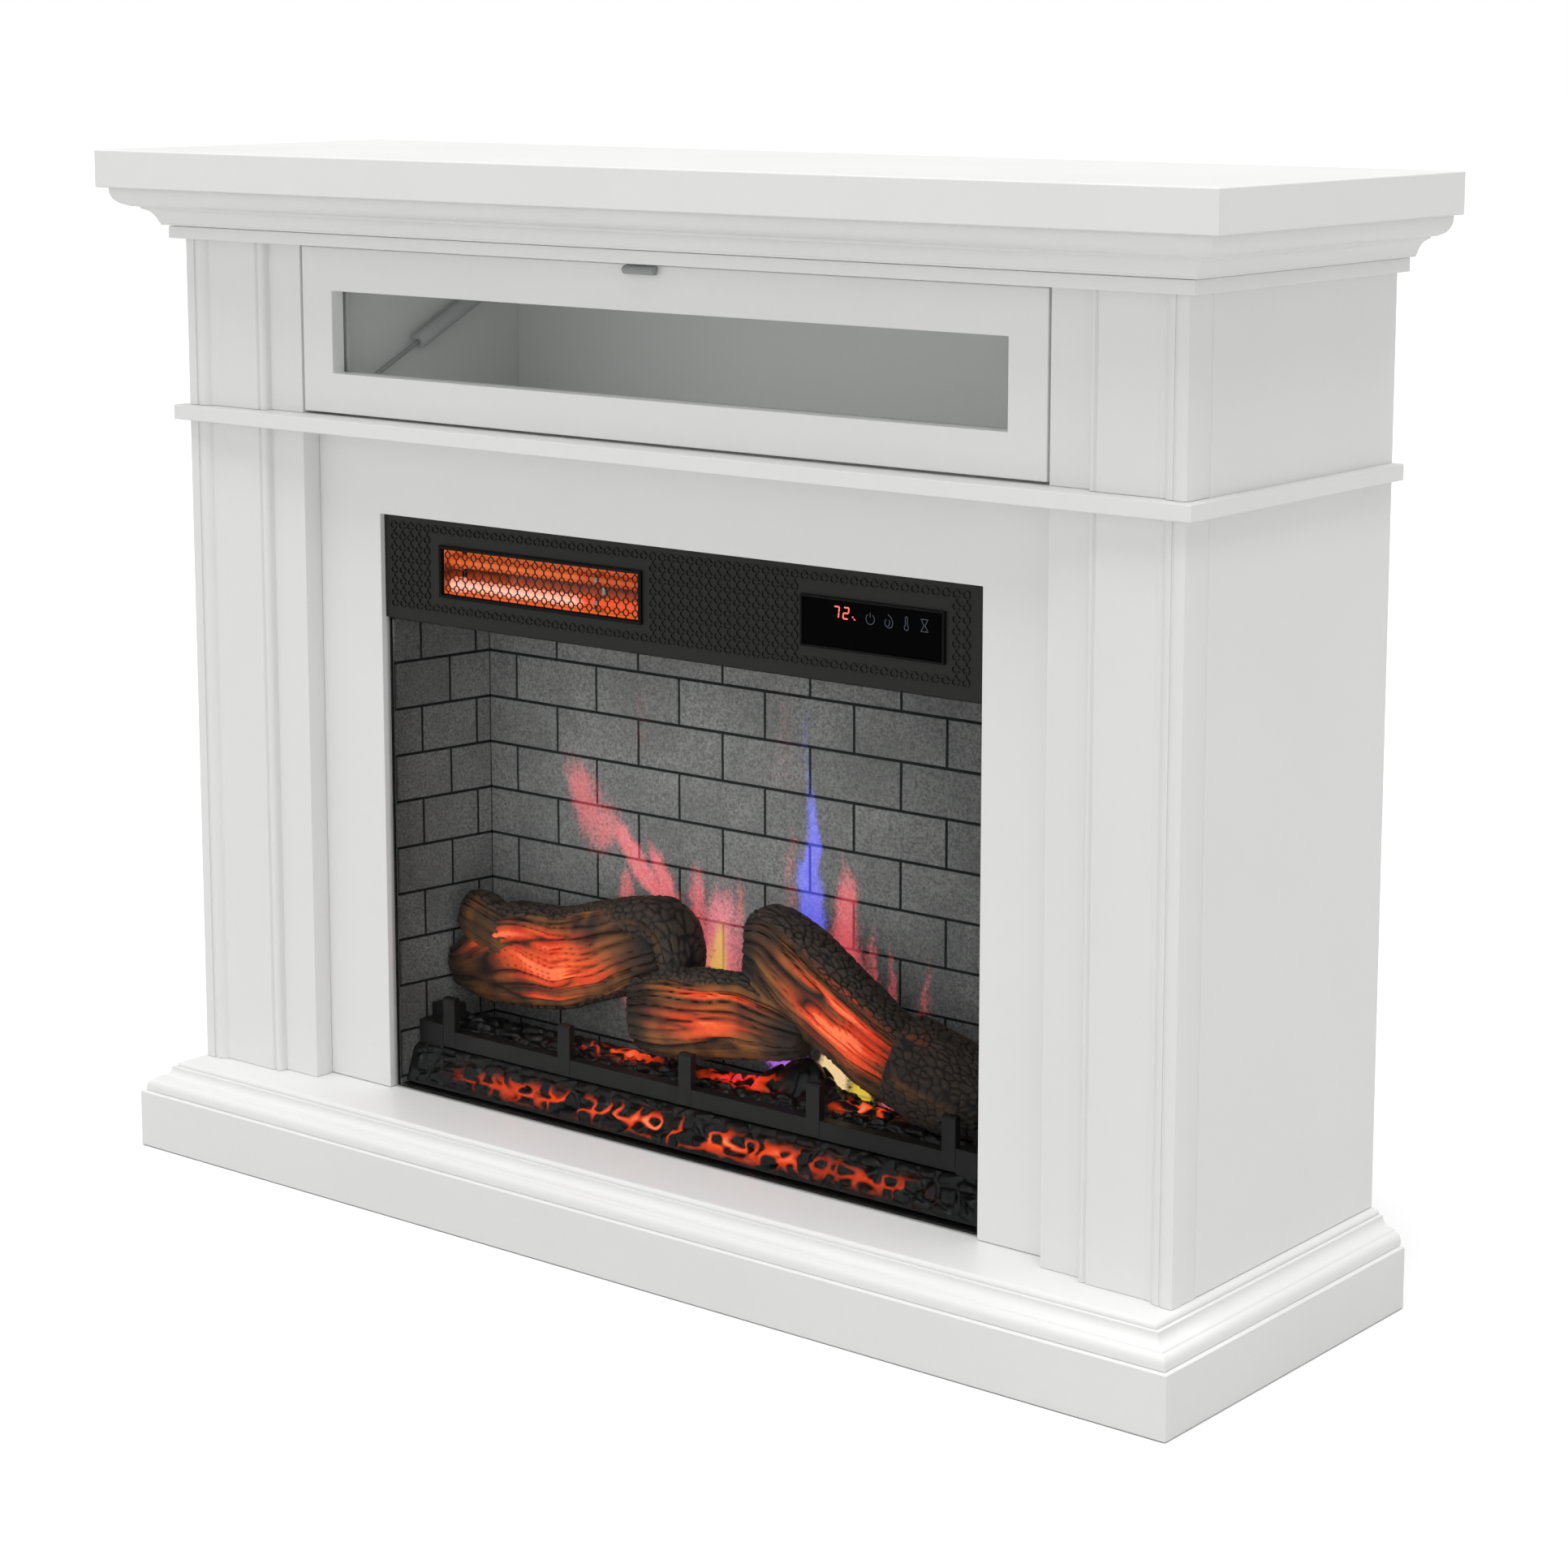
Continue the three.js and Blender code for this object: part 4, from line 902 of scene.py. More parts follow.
def segment_bars(lit, x, z, width=4.6, height=8.2, thick=1.1, slant=0.12):
    """The lit bars of one digit as (x, z) hexagons; bars are named a to g as on a data sheet."""
    w, h, t = width / 2, height / 2, thick / 2
    middles = {"a": (0, h, 1), "g": (0, 0, 1), "d": (0, -h, 1), "b": (w, h / 2, 0), "c": (w, -h / 2, 0),
               "e": (-w, -h / 2, 0), "f": (-w, h / 2, 0)}
    bars = []
    for name in lit:
        cx, cz, flat = middles[name]
        long = (w if flat else h / 2) - t * 0.9
        shape = np.array([(-long, -t), (long, -t), (long + t, 0), (long, t), (-long, t), (-long - t, 0)])
        shape = (shape if flat else shape[:, ::-1]) + (cx, cz)
        bars.append(np.c_[x + shape[:, 0] + slant * shape[:, 1], z + shape[:, 1]])
    return bars


screen_x, screen_z = display_low[0], display_low[2]
SEVEN, TWO = "abc", "abged"
bars = segment_bars(SEVEN, screen_x + 33.6, screen_z + 28.0)
bars += segment_bars(TWO, screen_x + 42.4, screen_z + 28.0)
lit_y = (screen_y - 0.12, screen_y + 0.2)
on_display("display_digits", together(*[prism(b, *lit_y, "y") for b in bars]), digit_red)
squares = [rectangle(screen_x + 48 + k, screen_x + 49.2 + k, screen_z + 25.2 - k, screen_z + 26.2 - k)
           for k in (0, 1.6)]
on_display("display_small_mark", together(*[prism(s, *lit_y, "y") for s in squares]), digit_red)
print("digit bars", len(bars))

# %% Touch marks


def line(centre, points, closed=False, width=0.55):
    """A thin raised line through (x, z) points about a mark's centre, carried in the plane of the window."""
    path = [(x + centre, screen_y, z + screen_z + 26.4) for x, z in points]
    return carried(rectangle(-width / 2, width / 2, -0.1, 0.12), path, closed, up=(0, -1, 0))


power, flame, gauge, timer = marks = [screen_x + dx for dx in (64.4, 81.0, 96.8, 112.8)]
tongue = [bend((-0.6, 4.8), (5.6, 0.6), (2.6, -4.4), 8), bend((0, -5.0), (-5.4, -3.0), (-2.2, 1.2), 8)]
shapes = [
    line(power, arc((0, -0.4), 3.8, 125, 415, 24)),
    line(power, [(0, 0.6), (0, 4.4)]),
    line(flame, np.vstack(tongue)),
    line(flame, bend((-0.8, -3.8), (1.8, -2.2), (0.4, 0.8), 6)),
    line(gauge, np.vstack([arc((0, -3.2), 1.9, 120, 420, 16), arc((0, 3.8), 0.95, 0, 180, 6)]), True),
    line(timer, [(-3, 4.4), (3, 4.4), (0.5, 0), (3, -4.4), (-3, -4.4), (-0.5, 0)], True),
]
on_display("display_marks", together(*shapes), mark_grey)
print("touch marks at", [round(m, 1) for m in marks])

# %% [markdown]
# ## Noise as arrays
# Cast logs and resin embers are copies of real, uneven things. Two kinds of unevenness do most of
# the work: a soft random surface for waves and grain, and a cell pattern for bark plates and coals.
# Both take whole arrays of places, so a log of fifty thousand points is worked out at once.

# %% Soft noise and cells


def value_noise(a, b, seed):
    """Random heights at whole numbers, blended between them by 3t^2 - 2t^3; the result lies in 0 to 1."""
    table = np.random.default_rng(seed).random((256, 256))
    i, j = np.floor(a).astype(int), np.floor(b).astype(int)
    s, t = a - i, b - j
    s, t = s * s * (3 - 2 * s), t * t * (3 - 2 * t)
    near = table[i % 256, j % 256] * (1 - s) + table[(i + 1) % 256, j % 256] * s
    far = table[i % 256, (j + 1) % 256] * (1 - s) + table[(i + 1) % 256, (j + 1) % 256] * s
    return near * (1 - t) + far * t


def cells(a, b, seed):
    """Distance to the nearest scattered point, and how much farther the second nearest is."""
    jitter = np.random.default_rng(seed).random((2, 256, 256))
    i, j = np.floor(a).astype(int), np.floor(b).astype(int)
    away = []
    for di in (-1, 0, 1):
        for dj in (-1, 0, 1):
            dx, dy = jitter[:, (i + di) % 256, (j + dj) % 256]
            away.append(np.hypot(i + di + dx - a, j + dj + dy - b))
    away = np.sort(np.stack(away), axis=0)
    return away[0], away[1] - away[0]


def fade(value, low, high):
    """0 below low, 1 above high, and 3t^2 - 2t^3 between."""
    t = np.clip((value - low) / (high - low), 0, 1)
    return t * t * (3 - 2 * t)


# %% [markdown]
# ## Brick walls of the firebox
# The firebox is lined with pressed fibre panels that are printed as brickwork, in running bond, with
# joints a little deeper than the faces. The grid's lines fall on the joint edges, so the joints stay
# crisp with few faces. The flame light is thrown on the back panel by a turning spindle, so it
# belongs to the panel's finish: each tongue is a bent streak, measured point by point.

# %% Running bond panel
COURSE, JOINT_TOP, JOINT_HALF, JOINT_DEEP = 38.4, 425.0, 1.3, 0.8


def lines_through(low, high, edges, gap):
    """Sorted grid lines: both ends, every joint edge, and evenly spaced fill no farther apart than gap."""
    places = np.concatenate([[e - JOINT_HALF, e - 0.9, e + 0.9, e + JOINT_HALF] for e in edges])
    marks = np.unique(np.r_[low, high, places[(places > low) & (places < high)]])
    return np.unique(np.concatenate([
        np.linspace(a, b, max(1, math.ceil((b - a) / gap)) + 1) for a, b in zip(marks, marks[1:])
    ]))


def brick_panel(start, end, low, high, first, pitch, thick, tongues=()):
    """Point = start + along * d - inward * depth(d, z).

    depth is the joint depth on a bed joint, and on an upright joint of that course; first gives the
    upright joints' place in even and odd courses.
    """
    start, end = np.array(start, float), np.array(end, float)
    length = np.hypot(*(end - start))
    along = (end - start) / length
    inward = np.array([along[1], -along[0]])
    beds = [JOINT_TOP - COURSE * k for k in range(10)]
    uprights = [[f + pitch * n for n in range(-4, 8) if 0 < f + pitch * n < length] for f in first]
    d = lines_through(0, length, uprights[0] + uprights[1], 3)
    z = lines_through(low, high, beds, 3)
    d, z = np.meshgrid(d, z)
    course = np.floor((JOINT_TOP - z) / COURSE + 1e-6)
    in_course = (JOINT_TOP - z) - course * COURSE
    bed = np.minimum(in_course, COURSE - in_course) < 1.0
    which = (course % 2).astype(int)
    offset = np.where(which == 0, first[0], first[1])
    from_joint = (d - offset + pitch / 2) % pitch - pitch / 2
    joint = bed | (np.abs(from_joint) < 1.0)
    brick = np.floor((d - offset) / pitch)
    tone = value_noise(brick * 17.0 + course * 5.0, course * 11.0, 3)
    depth = np.where(joint, JOINT_DEEP, 0) + 0.25 * value_noise(d / 9, z / 9, 4)
    plan = start + d[..., None] * along - depth[..., None] * inward
    behind = start + d[:1, :, None] * along - thick * inward
    front = np.dstack([plan[..., 0], plan[..., 1], z])
    rear = [np.dstack([behind[..., 0], behind[..., 1], np.full_like(d[:1], level)]) for level in (low, high)]
    points = np.vstack([rear[0], front, rear[1]])
    rows, columns = points.shape[:2]
    faces = grid(rows, columns, True, False).tolist()
    faces += [[i * columns for i in range(rows)], [i * columns + columns - 1 for i in range(rows)]]
    spread = {"tone": tone, "joint": joint.astype(float), **flame_light(front[..., 0], z, tongues)}
    spread = {key: np.vstack([value[:1], value, value[-1:]]) for key, value in spread.items()}
    return (points.reshape(-1, 3), faces), spread


# %% Tongues of flame light


def flame_light(x, z, tongues):
    """Strength and tint at each place: the strength of the strongest tongue, the tint of the stronger ones.

    Along a tongue t runs 0 to 1 from foot to tip; its middle bows sideways by bow * 4t(1 - t) and its
    half width is width * (1 - t)^taper.
    """
    cover, total, tint = np.zeros_like(x), np.zeros_like(x), np.zeros((3, *x.shape))
    for (x0, z0), (x1, z1), width, taper, bow, strength, colour in tongues:
        run, rise = x1 - x0, z1 - z0
        span = math.hypot(run, rise)
        t = ((x - x0) * run + (z - z0) * rise) / span**2
        side = ((x - x0) * rise - (z - z0) * run) / span - bow * 4 * t * (1 - t)
        side = side + 9 * (value_noise(x / 16, z / 26, 8) - 0.5) + 4 * (value_noise(x / 5, z / 9, 9) - 0.5)
        half = 1.5 * width * np.clip(1 - t, 0.001, 1) ** taper
        here = strength * fade(1 - np.abs(side) / half, 0, 0.85) * fade(t, -0.08, 0.12) * fade(1 - t, 0, 0.4)
        share = here**3
        cover = np.maximum(cover, here)
        tint += share * np.array(linear(colour)[:3])[:, None, None]
        total += share
    tint /= np.maximum(total, 1e-9)
    return {"cover": cover, "tint_red": tint[0], "tint_green": tint[1], "tint_blue": tint[2]}


SALMON, PINK, YELLOW, BLUE, VIOLET, WARM = "#d94c55", "#e86f7c", "#e8c440", "#5656e6", "#b565e0", "#ffd9a0"
# Each row: foot (x, z), tip (x, z), half width, taper, bow, strength, colour.
tongues = [
    ((-48, 200), (-166, 330), 10, 0.2, -3, 1.0, SALMON),
    ((-142, 276), (-196, 358), 25, 0.45, 0, 0.66, SALMON),
    ((-66, 215), (-114, 304), 14, 0.6, 2, 0.85, SALMON),
    ((-128, 210), (-124, 278), 15, 0.7, 0, 0.6, SALMON), ((-50, 200), (-58, 292), 16, 0.8, 3, 0.72, SALMON),
    ((-32, 170), (-24, 282), 40, 0.7, 0, 0.74, PINK), ((-14, 190), (-10, 292), 12, 0.8, 2, 0.55, SALMON),
    ((-30, 178), (-27, 246), 13, 0.5, 0, 0.95, YELLOW), ((66, 200), (60, 385), 23, 1.15, 0, 1.0, BLUE),
    ((61, 330), (58, 440), 5, 0.8, 0, 0.4, BLUE), ((66, 215), (72, 300), 8, 0.6, 0, 0.35, PINK),
    ((106, 185), (98, 326), 23, 0.85, -3, 0.8, SALMON), ((122, 190), (128, 270), 10, 0.8, 0, 0.5, SALMON),
    ((45, 250), (44, 335), 9, 0.6, 0, 0.35, SALMON), ((140, 190), (143, 256), 7, 0.8, 0, 0.45, SALMON),
    ((172, 190), (176, 250), 7, 0.8, 0, 0.4, SALMON), ((34, 350), (36, 450), 18, 0.6, 0, 0.16, SALMON),
    ((-108, 360), (-109, 430), 14, 0.6, 0, 0.15, SALMON), ((-100, 120), (-132, 185), 26, 0.6, 0, 0.5, PINK),
    ((30, 120), (66, 180), 24, 0.6, 0, 0.85, VIOLET), ((78, 96), (98, 176), 22, 0.6, 0, 1.25, WARM),
    ((104, 90), (122, 160), 14, 0.6, 0, 1.1, YELLOW), ((150, 80), (140, 150), 24, 0.6, 0, 0.75, PINK),
]

# %% [markdown]
# ### Printed fibre board
# Matt ink on a pressed board: grey faces speckled like fired clay, nearly black joints. Lamp light
# that reaches the board looks grainy, since each pressed grain catches it or not, so the flame is
# compared with a fine noise before it is let through.

# %% Printed brick finish
brick, t, shader = new_finish("printed_brick_fibre_board", Roughness=0.85, Specular_IOR_Level=0.25,
                              Emission_Strength=1.0)
speck = noise(t, 2.2, 3.0, Roughness=0.7)
clay = blend(t, remap(t, speck, 0.3, 0.7), "#565655", "#979694")
clay = blend(t, maths(t, "MULTIPLY", attribute(t, "tone"), 0.22), clay, "#484848")
clay = blend(t, remap(t, noise(t, 45, 3.0), 0.35, 0.75, 0.0, 0.5), clay, "#585857")
joint = attribute(t, "joint")
grain = remap(t, noise(t, 2.6, 2.0, Roughness=0.65), 0.3, 0.7, 0.0, 0.8)
cover = attribute(t, "cover")
caught = remap(t, maths(t, "SUBTRACT", cover, grain), -0.3, 0.25)
caught = maths(t, "MULTIPLY", caught, remap(t, cover, 0.0, 0.8))
tint = {k: attribute(t, f"tint_{colour}") for k, colour in enumerate(("red", "green", "blue"))}
tint = add(t, "CombineXYZ", tint).outputs[0]
lit = maths(t, "MULTIPLY", caught, maths(t, "SUBTRACT", 1.0, maths(t, "MULTIPLY", joint, 0.3)))
wire(t, shader, Base_Color=blend(t, joint, clay, "#1d1f21"), Emission_Color=blend(t, lit, "#000000", tint),
     Normal=relief(t, speck, 0.5, 0.7))
print("brick finish has", len(t.nodes), "nodes")

# %% Three panels
lining = partial(make_piece, finish=brick, slot="printed_brick", smooth=25)
low, high = box_mm("brick_back")
foot, top = low[2], high[2]
wall, extra = brick_panel((low[0], low[1]), (high[0], low[1]), foot, top, (29.5, 74.2), 87.4, 2.4, tongues)
lining("brick_panel_back", wall, replaces=["brick_back"], extra=extra)
print("brick panels", len(wall[1]), "faces at the back")
low, high = box_mm("brick_left")
near, far = (low[0] + 2.4, low[1]), (high[0], high[1])
mirrored = [(-x, y) for x, y in (far, near)]
for side, ends, first in (("left", (near, far), (55.0, 26.6)), ("right", mirrored, (40.0, 68.4))):
    wall, extra = brick_panel(*ends, foot, top, first, 55.0, 2.2)
    lining(f"brick_panel_{side}", wall, replaces=[f"brick_{side}"], extra=extra)

# %% [markdown]
# ## Cast logs
# The logs are resin shells cast from real split wood and lit from inside, so the hot heart shows
# through the face. Each is a section carried along a bent line: the front sector is split wood, cut
# by long flowing cracks, the rest is bark in plates. Where it is crack, plate or lamp is kept on the
# points, and the finish reads it.

# %% Log surface
END_ROWS = 14


def smoothed_line(stations, step):
    """Places every step mm along the stations, averaged over about 18 mm, with the direction at each."""
    rows = np.array(stations, float)
    chord = np.r_[0, np.cumsum(np.hypot(*np.diff(rows[:, :2], axis=0).T))]
    s = np.linspace(0, 1, int(chord[-1] / step))
    spline = np.array([np.interp(s * chord[-1], chord, column) for column in rows.T]).T
    window = np.hanning(2 * int(9 / step) + 1)
    padded = np.pad(spline, ((len(window) // 2,) * 2, (0, 0)), "reflect", reflect_type="odd")
    spline = np.array([np.convolve(c, window / window.sum(), "valid") for c in padded.T]).T
    way = np.gradient(spline[:, :2], axis=0)
    return s, chord[-1], spline, way / np.linalg.norm(way, axis=1)[:, None]


def log_surface(stations, seed, split=(95, 58), heats=(), crack=3.6, round_end=4.0, step=1.15):
    """Point = line(s) + up(s) * U + front * F.

    stations are rows (x, z, y, half height, half depth) along the log. U and F are the half sizes times
    a flattened cosine and sine of the angle a, plus the relief d along the outward direction; both ends
    close in over a few rows. split is the middle and half width in degrees of the split-wood sector,
    and each heat is (place along, its half length, angle, its half angle, strength).
    """
    s, length, spline, way = smoothed_line(stations, step)
    girth = np.array(stations, float)[:, 3].mean()
    turn = np.linspace(0, np.pi / 2, 7)[:-1]
    shrink = np.r_[np.linspace(0.03, 0.55, 8), 0.55 + 0.45 * np.sin(turn)]
    push = np.r_[np.full(8, 1.0), np.cos(turn)] * round_end
    order = np.r_[np.zeros(END_ROWS, int), np.arange(len(s)), np.full(END_ROWS, len(s) - 1)]
    q = np.r_[shrink, np.ones(len(s)), shrink[::-1]][:, None]
    out = np.r_[-push, np.zeros(len(s)), push[::-1]][:, None]
    x, z, y, half_up, half_front = spline[order].T[:, :, None]
    way, s = way[order], s[order][:, None]
    around = int(2 * np.pi * girth / (step * 0.85))
    a = np.linspace(-90, 270, around, endpoint=False)[None]
    radians = np.radians(a)
    cosine, sine = np.cos(radians), np.sin(radians)
    flat_cos = np.sign(cosine) * np.abs(cosine) ** 0.82
    flat_sin = np.sign(sine) * np.abs(sine) ** 0.82
    along, over = np.broadcast_arrays(s * length + out * 2, radians * girth)

    wave = over + 11 * (value_noise(along / 75, over / 40, seed) - 0.5)
    wave = wave + 2.5 * (value_noise(along / 20, over / 16, seed + 1) - 0.5)
    border = split[1] + 16 * (value_noise(along / 26, over / 9, seed + 2) - 0.5)
    wood = fade(border - np.abs(a - split[0]), -6, 6)
    fine = 1 - np.abs(2 * value_noise(wave / 3.0, along / 95, seed + 3) - 1)
    broad = 1 - np.abs(2 * value_noise(wave / 6.5, along / 150, seed + 4) - 1)
    cracks = np.maximum(0.7 * fine**5, broad**6)
    strand = value_noise(wave / 1.7, along / 40, seed + 5)
    _, plate = cells(along / 8.5 + 0.5 * value_noise(over / 5, along / 5, seed), over / 5.5, seed + 6)
    bark = 1.7 * fade(plate, 0.0, 0.35) + 0.9 * value_noise(along / 2.6, over / 2.6, seed + 7)
    swell = 4.5 * (value_noise(along / 34, over / 24, seed + 8) - 0.5)
    seam = fade(np.abs(a - 90), 180, 160)
    relief_mm = wood * (1.4 - crack * cracks + 0.9 * strand) + (1 - wood) * bark + swell
    relief_mm = relief_mm * seam * fade(q, 0.2, 1.0)

    up = (half_up * flat_cos + relief_mm * cosine) * q
    front = (half_front * flat_sin + relief_mm * sine) * q
    end = out + np.sign(out) * (value_noise(over / 5, q * 9, seed + 9) - 0.5) * 3 * (1 - q)
    run, rise = way[:, :1], way[:, 1:]
    points = np.stack([x - rise * up + run * end, y - front, z + run * up + rise * end], -1)

    heat = np.zeros_like(along)
    for middle, reach, angle, spread, strength in heats:
        streak = 0.5 + 1.1 * (value_noise(wave / 6, along / 90, seed + 10) - 0.3)
        heat += strength * streak * np.exp(-((s - middle) / reach) ** 2 - ((a - angle) / spread) ** 2)
    amber = fade(q, 0.6, 1.0) * fade(s, 0.02, 0.2) * fade(1 - s, 0.02, 0.2) * np.ones_like(along)
    gaps = cracks * wood + (1 - fade(plate, 0, 0.3)) * (1 - wood)
    extra = {"wood": wood * fade(q, 0.75, 1.0), "crack": gaps, "lamp": heat * fade(q, 0.5, 1.0),
             "amber": amber}
    count = len(order)
    faces = grid(count, around, False, True).tolist()
    faces += [list(range(around)), list(range((count - 1) * around, count * around))]
    return (points.reshape(-1, 3), faces), extra


# %% [markdown]
# ### Charred wood, cast in resin
# Bark and char are matt and nearly black, the split face is amber where the lamp warms it, and the
# lamp itself shows as deep red that turns to orange at its hottest. Cracks stay dark, as the resin is
# thickest there.

# %% Bark resin finish
charred, t, shader = new_finish("cast_resin_charred_wood", Roughness=0.68, Specular_IOR_Level=0.35,
                                Emission_Strength=1.0)
fleck = noise(t, 4, 4.0, Roughness=0.7)
patch = noise(t, 26, 2.0)
crack = attribute(t, "crack")
bark_tone = blend(t, fleck, "#1c1613", "#4a3c31")
burnt = maths(t, "MULTIPLY", attribute(t, "amber"), remap(t, patch, 0.3, 0.6))
wood_tone = blend(t, burnt, "#2a211b", blend(t, patch, "#5c3415", "#8c5526"))
tone = blend(t, attribute(t, "wood"), bark_tone, wood_tone)
open_face = maths(t, "SUBTRACT", 1.0, maths(t, "MULTIPLY", crack, 0.85))
hot = maths(t, "MULTIPLY", attribute(t, "lamp"), open_face)
hot = maths(t, "MULTIPLY", hot, remap(t, fleck, 0.25, 0.6, 0.8))
stops = [(0, "#000000"), (0.15, "#1a0500"), (0.36, "#661603"), (0.6, "#c22a05"), (0.85, "#ee3c0e"),
         (1, "#ff7046")]
glow = ramp(t, hot, stops)
wire(t, shader, Base_Color=blend(t, crack, tone, "#0b0908"), Emission_Color=glow,
     Normal=relief(t, fleck, 0.6, 0.8))
print("char finish has", len(t.nodes), "nodes")

# %% Stations of each log
LEFT = [(-277, 165, 0, 18, 16), (-262, 168, 0, 25, 20), (-240, 175, 0, 34, 22), (-214, 183, 0, 41, 23),
        (-188, 187, 0, 41, 23), (-160, 190, 0, 40, 23), (-117, 203, 0, 37, 22), (-84, 217, 0, 33, 21),
        (-58, 224, 0, 28, 19)]
LEFT_HEAT = [(0.55, 0.24, 108, 32, 1.35), (0.42, 0.26, 66, 16, 0.95), (0.36, 0.26, 92, 26, 0.65)]
STUB = [(-261, 214, -8, 17, 14), (-250, 211, -8, 20, 17), (-228, 203, -7, 20, 17), (-198, 190, -4, 17, 15)]
ELBOW = [(-110, 231, 1, 11, 16), (-84, 238, 0, 14, 19), (-60, 241, -1, 15, 21), (-43, 231, -2, 15, 21),
         (-36, 213, -3, 14, 20), (-36, 194, -4, 13, 17)]
MIDDLE = [(-72, 163, 0, 28, 16), (-56, 165, 0, 31, 17), (-10, 171, 0, 34, 17), (35, 178, 0, 32, 17),
          (72, 176, 0, 26, 16), (92, 175, 0, 18, 14)]
MIDDLE_HEAT = [(0.48, 0.3, 90, 28, 1.0), (0.5, 0.3, 60, 15, 0.95)]
RIGHT = [(42, 236, 0, 24, 17), (58, 235, 0, 33, 20), (84, 220, 0, 36, 22), (120, 198, 0, 35, 22),
         (160, 177, 0, 33, 22), (200, 160, 0, 32, 21)]
RIGHT_HEAT = [(0.62, 0.3, 94, 32, 1.45), (0.5, 0.32, 72, 17, 0.95), (0.55, 0.3, 44, 9, 0.45)]
STUMP = [(186, 171, -1, 35, 23), (208, 163, -1, 38, 24), (236, 156, 0, 36, 23), (262, 152, 0, 28, 20)]
ALL_BARK = (95, 0)
LOGS = [
    ("log_left_split", "log_left", LEFT, 21, {"heats": LEFT_HEAT}),
    ("log_left_stub", "log_left", STUB, 35, {"split": (95, 70), "crack": 2.2}),
    ("log_left_elbow", "log_left", ELBOW, 47, {"split": ALL_BARK, "round_end": 5}),
    ("log_middle_split", "log_middle", MIDDLE, 63, {"split": (98, 62), "heats": MIDDLE_HEAT}),
    ("log_right_split", "log_right", RIGHT, 74, {"split": (100, 52), "heats": RIGHT_HEAT}),
    ("log_right_stump", "log_right", STUMP, 88, {"split": ALL_BARK, "heats": [(0.2, 0.3, 40, 20, 0.25)]}),
]
for name, node, stations, seed, options in LOGS:
    low, high = box_mm(node)
    middle = (low[1] + high[1]) / 2 + 1
    body, extra = log_surface(np.array(stations) + (0, 0, middle, 0, 0), seed, **options)
    stands_for = [node] if name.endswith("split") else []
    make_piece(name, body, charred, replaces=stands_for, slot="bark_resin", smooth=60, extra=extra)
print("log pieces", len(LOGS))

# %% [markdown]
# ## Ember bed
# One vacuum-formed sheet of smoked resin, from the slope behind the glass to the bed behind the
# grate. Lumps are cells of about a coal's size; lamps below show through where the resin is thin,
# between the lumps, brightest in the middle of the width.

# %% Ember surface
low, high = box_mm("ember_bed")
BED = np.array([(-67.2, 76), (-59.5, 102), (-55, 106), (-43, 107), (-40, 118), (-36, 123), (-15, 125),
                (6, 117), (12, 110), (14.5, 76)])


def resampled(outline, gap):
    """The same outline with points no farther apart than gap, and how far along it each one lies."""
    reach = np.r_[0, np.cumsum(np.hypot(*np.diff(outline, axis=0).T))]
    places = np.linspace(0, reach[-1], int(reach[-1] / gap))
    return np.array([np.interp(places, reach, column) for column in outline.T]).T, places


def hill(value, middle, width):
    """A bell: 1 at the middle, 0.37 one width away."""
    return np.exp(-((value - middle) / width) ** 2)


section, run = resampled(BED, 1.1)
lean = np.gradient(section, axis=0)
lean /= np.linalg.norm(lean, axis=1)[:, None]
normal = np.c_[-lean[:, 1], lean[:, 0]]
u, x = np.meshgrid(run, np.linspace(low[0] - 2, high[0] + 2, 520), indexing="ij")
near_lump, gap = cells(x / 17 + 0.7 * value_noise(x / 9, u / 9, 5), u / 12.5, 51)
small, _ = cells(x / 5.5, u / 5, 52)
lumps = 4.2 * fade(gap, 0, 0.5) * (1 - 0.4 * near_lump) + 0.8 * (1 - small)
lumps = lumps + 1.6 * (value_noise(x / 30, u / 18, 53) - 0.5)
ledge = fade(section[:, 0], -42, -38) + (1 - fade(section[:, 0], -58, -54))
sides = np.minimum(fade(x, low[0], low[0] + 8), fade(-x, -high[0], 8 - high[0]))
edge = np.minimum(fade(u, 0, 6), fade(u[::-1], 0, 6)) * sides
lift = (lumps - 2.2) * np.clip(ledge, 0.15, 1)[:, None] * edge
y = section[:, :1] + normal[:, :1] * lift
z = section[:, 1:] + normal[:, 1:] * lift
hump = hill(x, 84, np.where(x < 84, 40, 24)) * 27 + hill(x, 128, 26) * 6
z = z + hump * fade(y, -22, -4) * fade(-y, -15, -6)
narrow = 1 - 0.0006 * (y + 67)
front_glow = hill(u, 14, 9.0) * np.exp(-np.abs(x - 5) / 250) * fade(-np.abs(x), -262, -215)
patches = np.maximum(hill(x, -100, 42), np.maximum(hill(x, 25, 34), 0.9 * hill(x, 150, 32)))
rear_glow = hill(y, -20, 11.0) * patches
bend_x = x + 9 * value_noise(x / 11, u / 11, 54)
vein = 1 - np.abs(2 * value_noise(bend_x / 11, u / 8, 55) - 1)
island = value_noise(x / 26, u / 16, 56)
shine = np.maximum(front_glow, rear_glow) * fade(vein, 0.55, 0.9) * (0.5 + 0.9 * island)
bed_points = np.stack([x * narrow, y, z], -1)
extra = {"shine": shine, "violet": rear_glow * fade(-np.abs(x - 22), -40, -15), "lump": fade(gap, 0, 0.4)}
rows, columns = u.shape
bed_faces = grid(rows, columns, True, False).tolist()
bed_faces += [[i * columns + j for i in range(rows)] for j in (0, columns - 1)]

# %% [markdown]
# ### Smoked resin
# Glossy and nearly black, with small soft highlights on each lump; thin places pass orange light,
# and in the middle behind the grate a second, violet lamp mixes in.

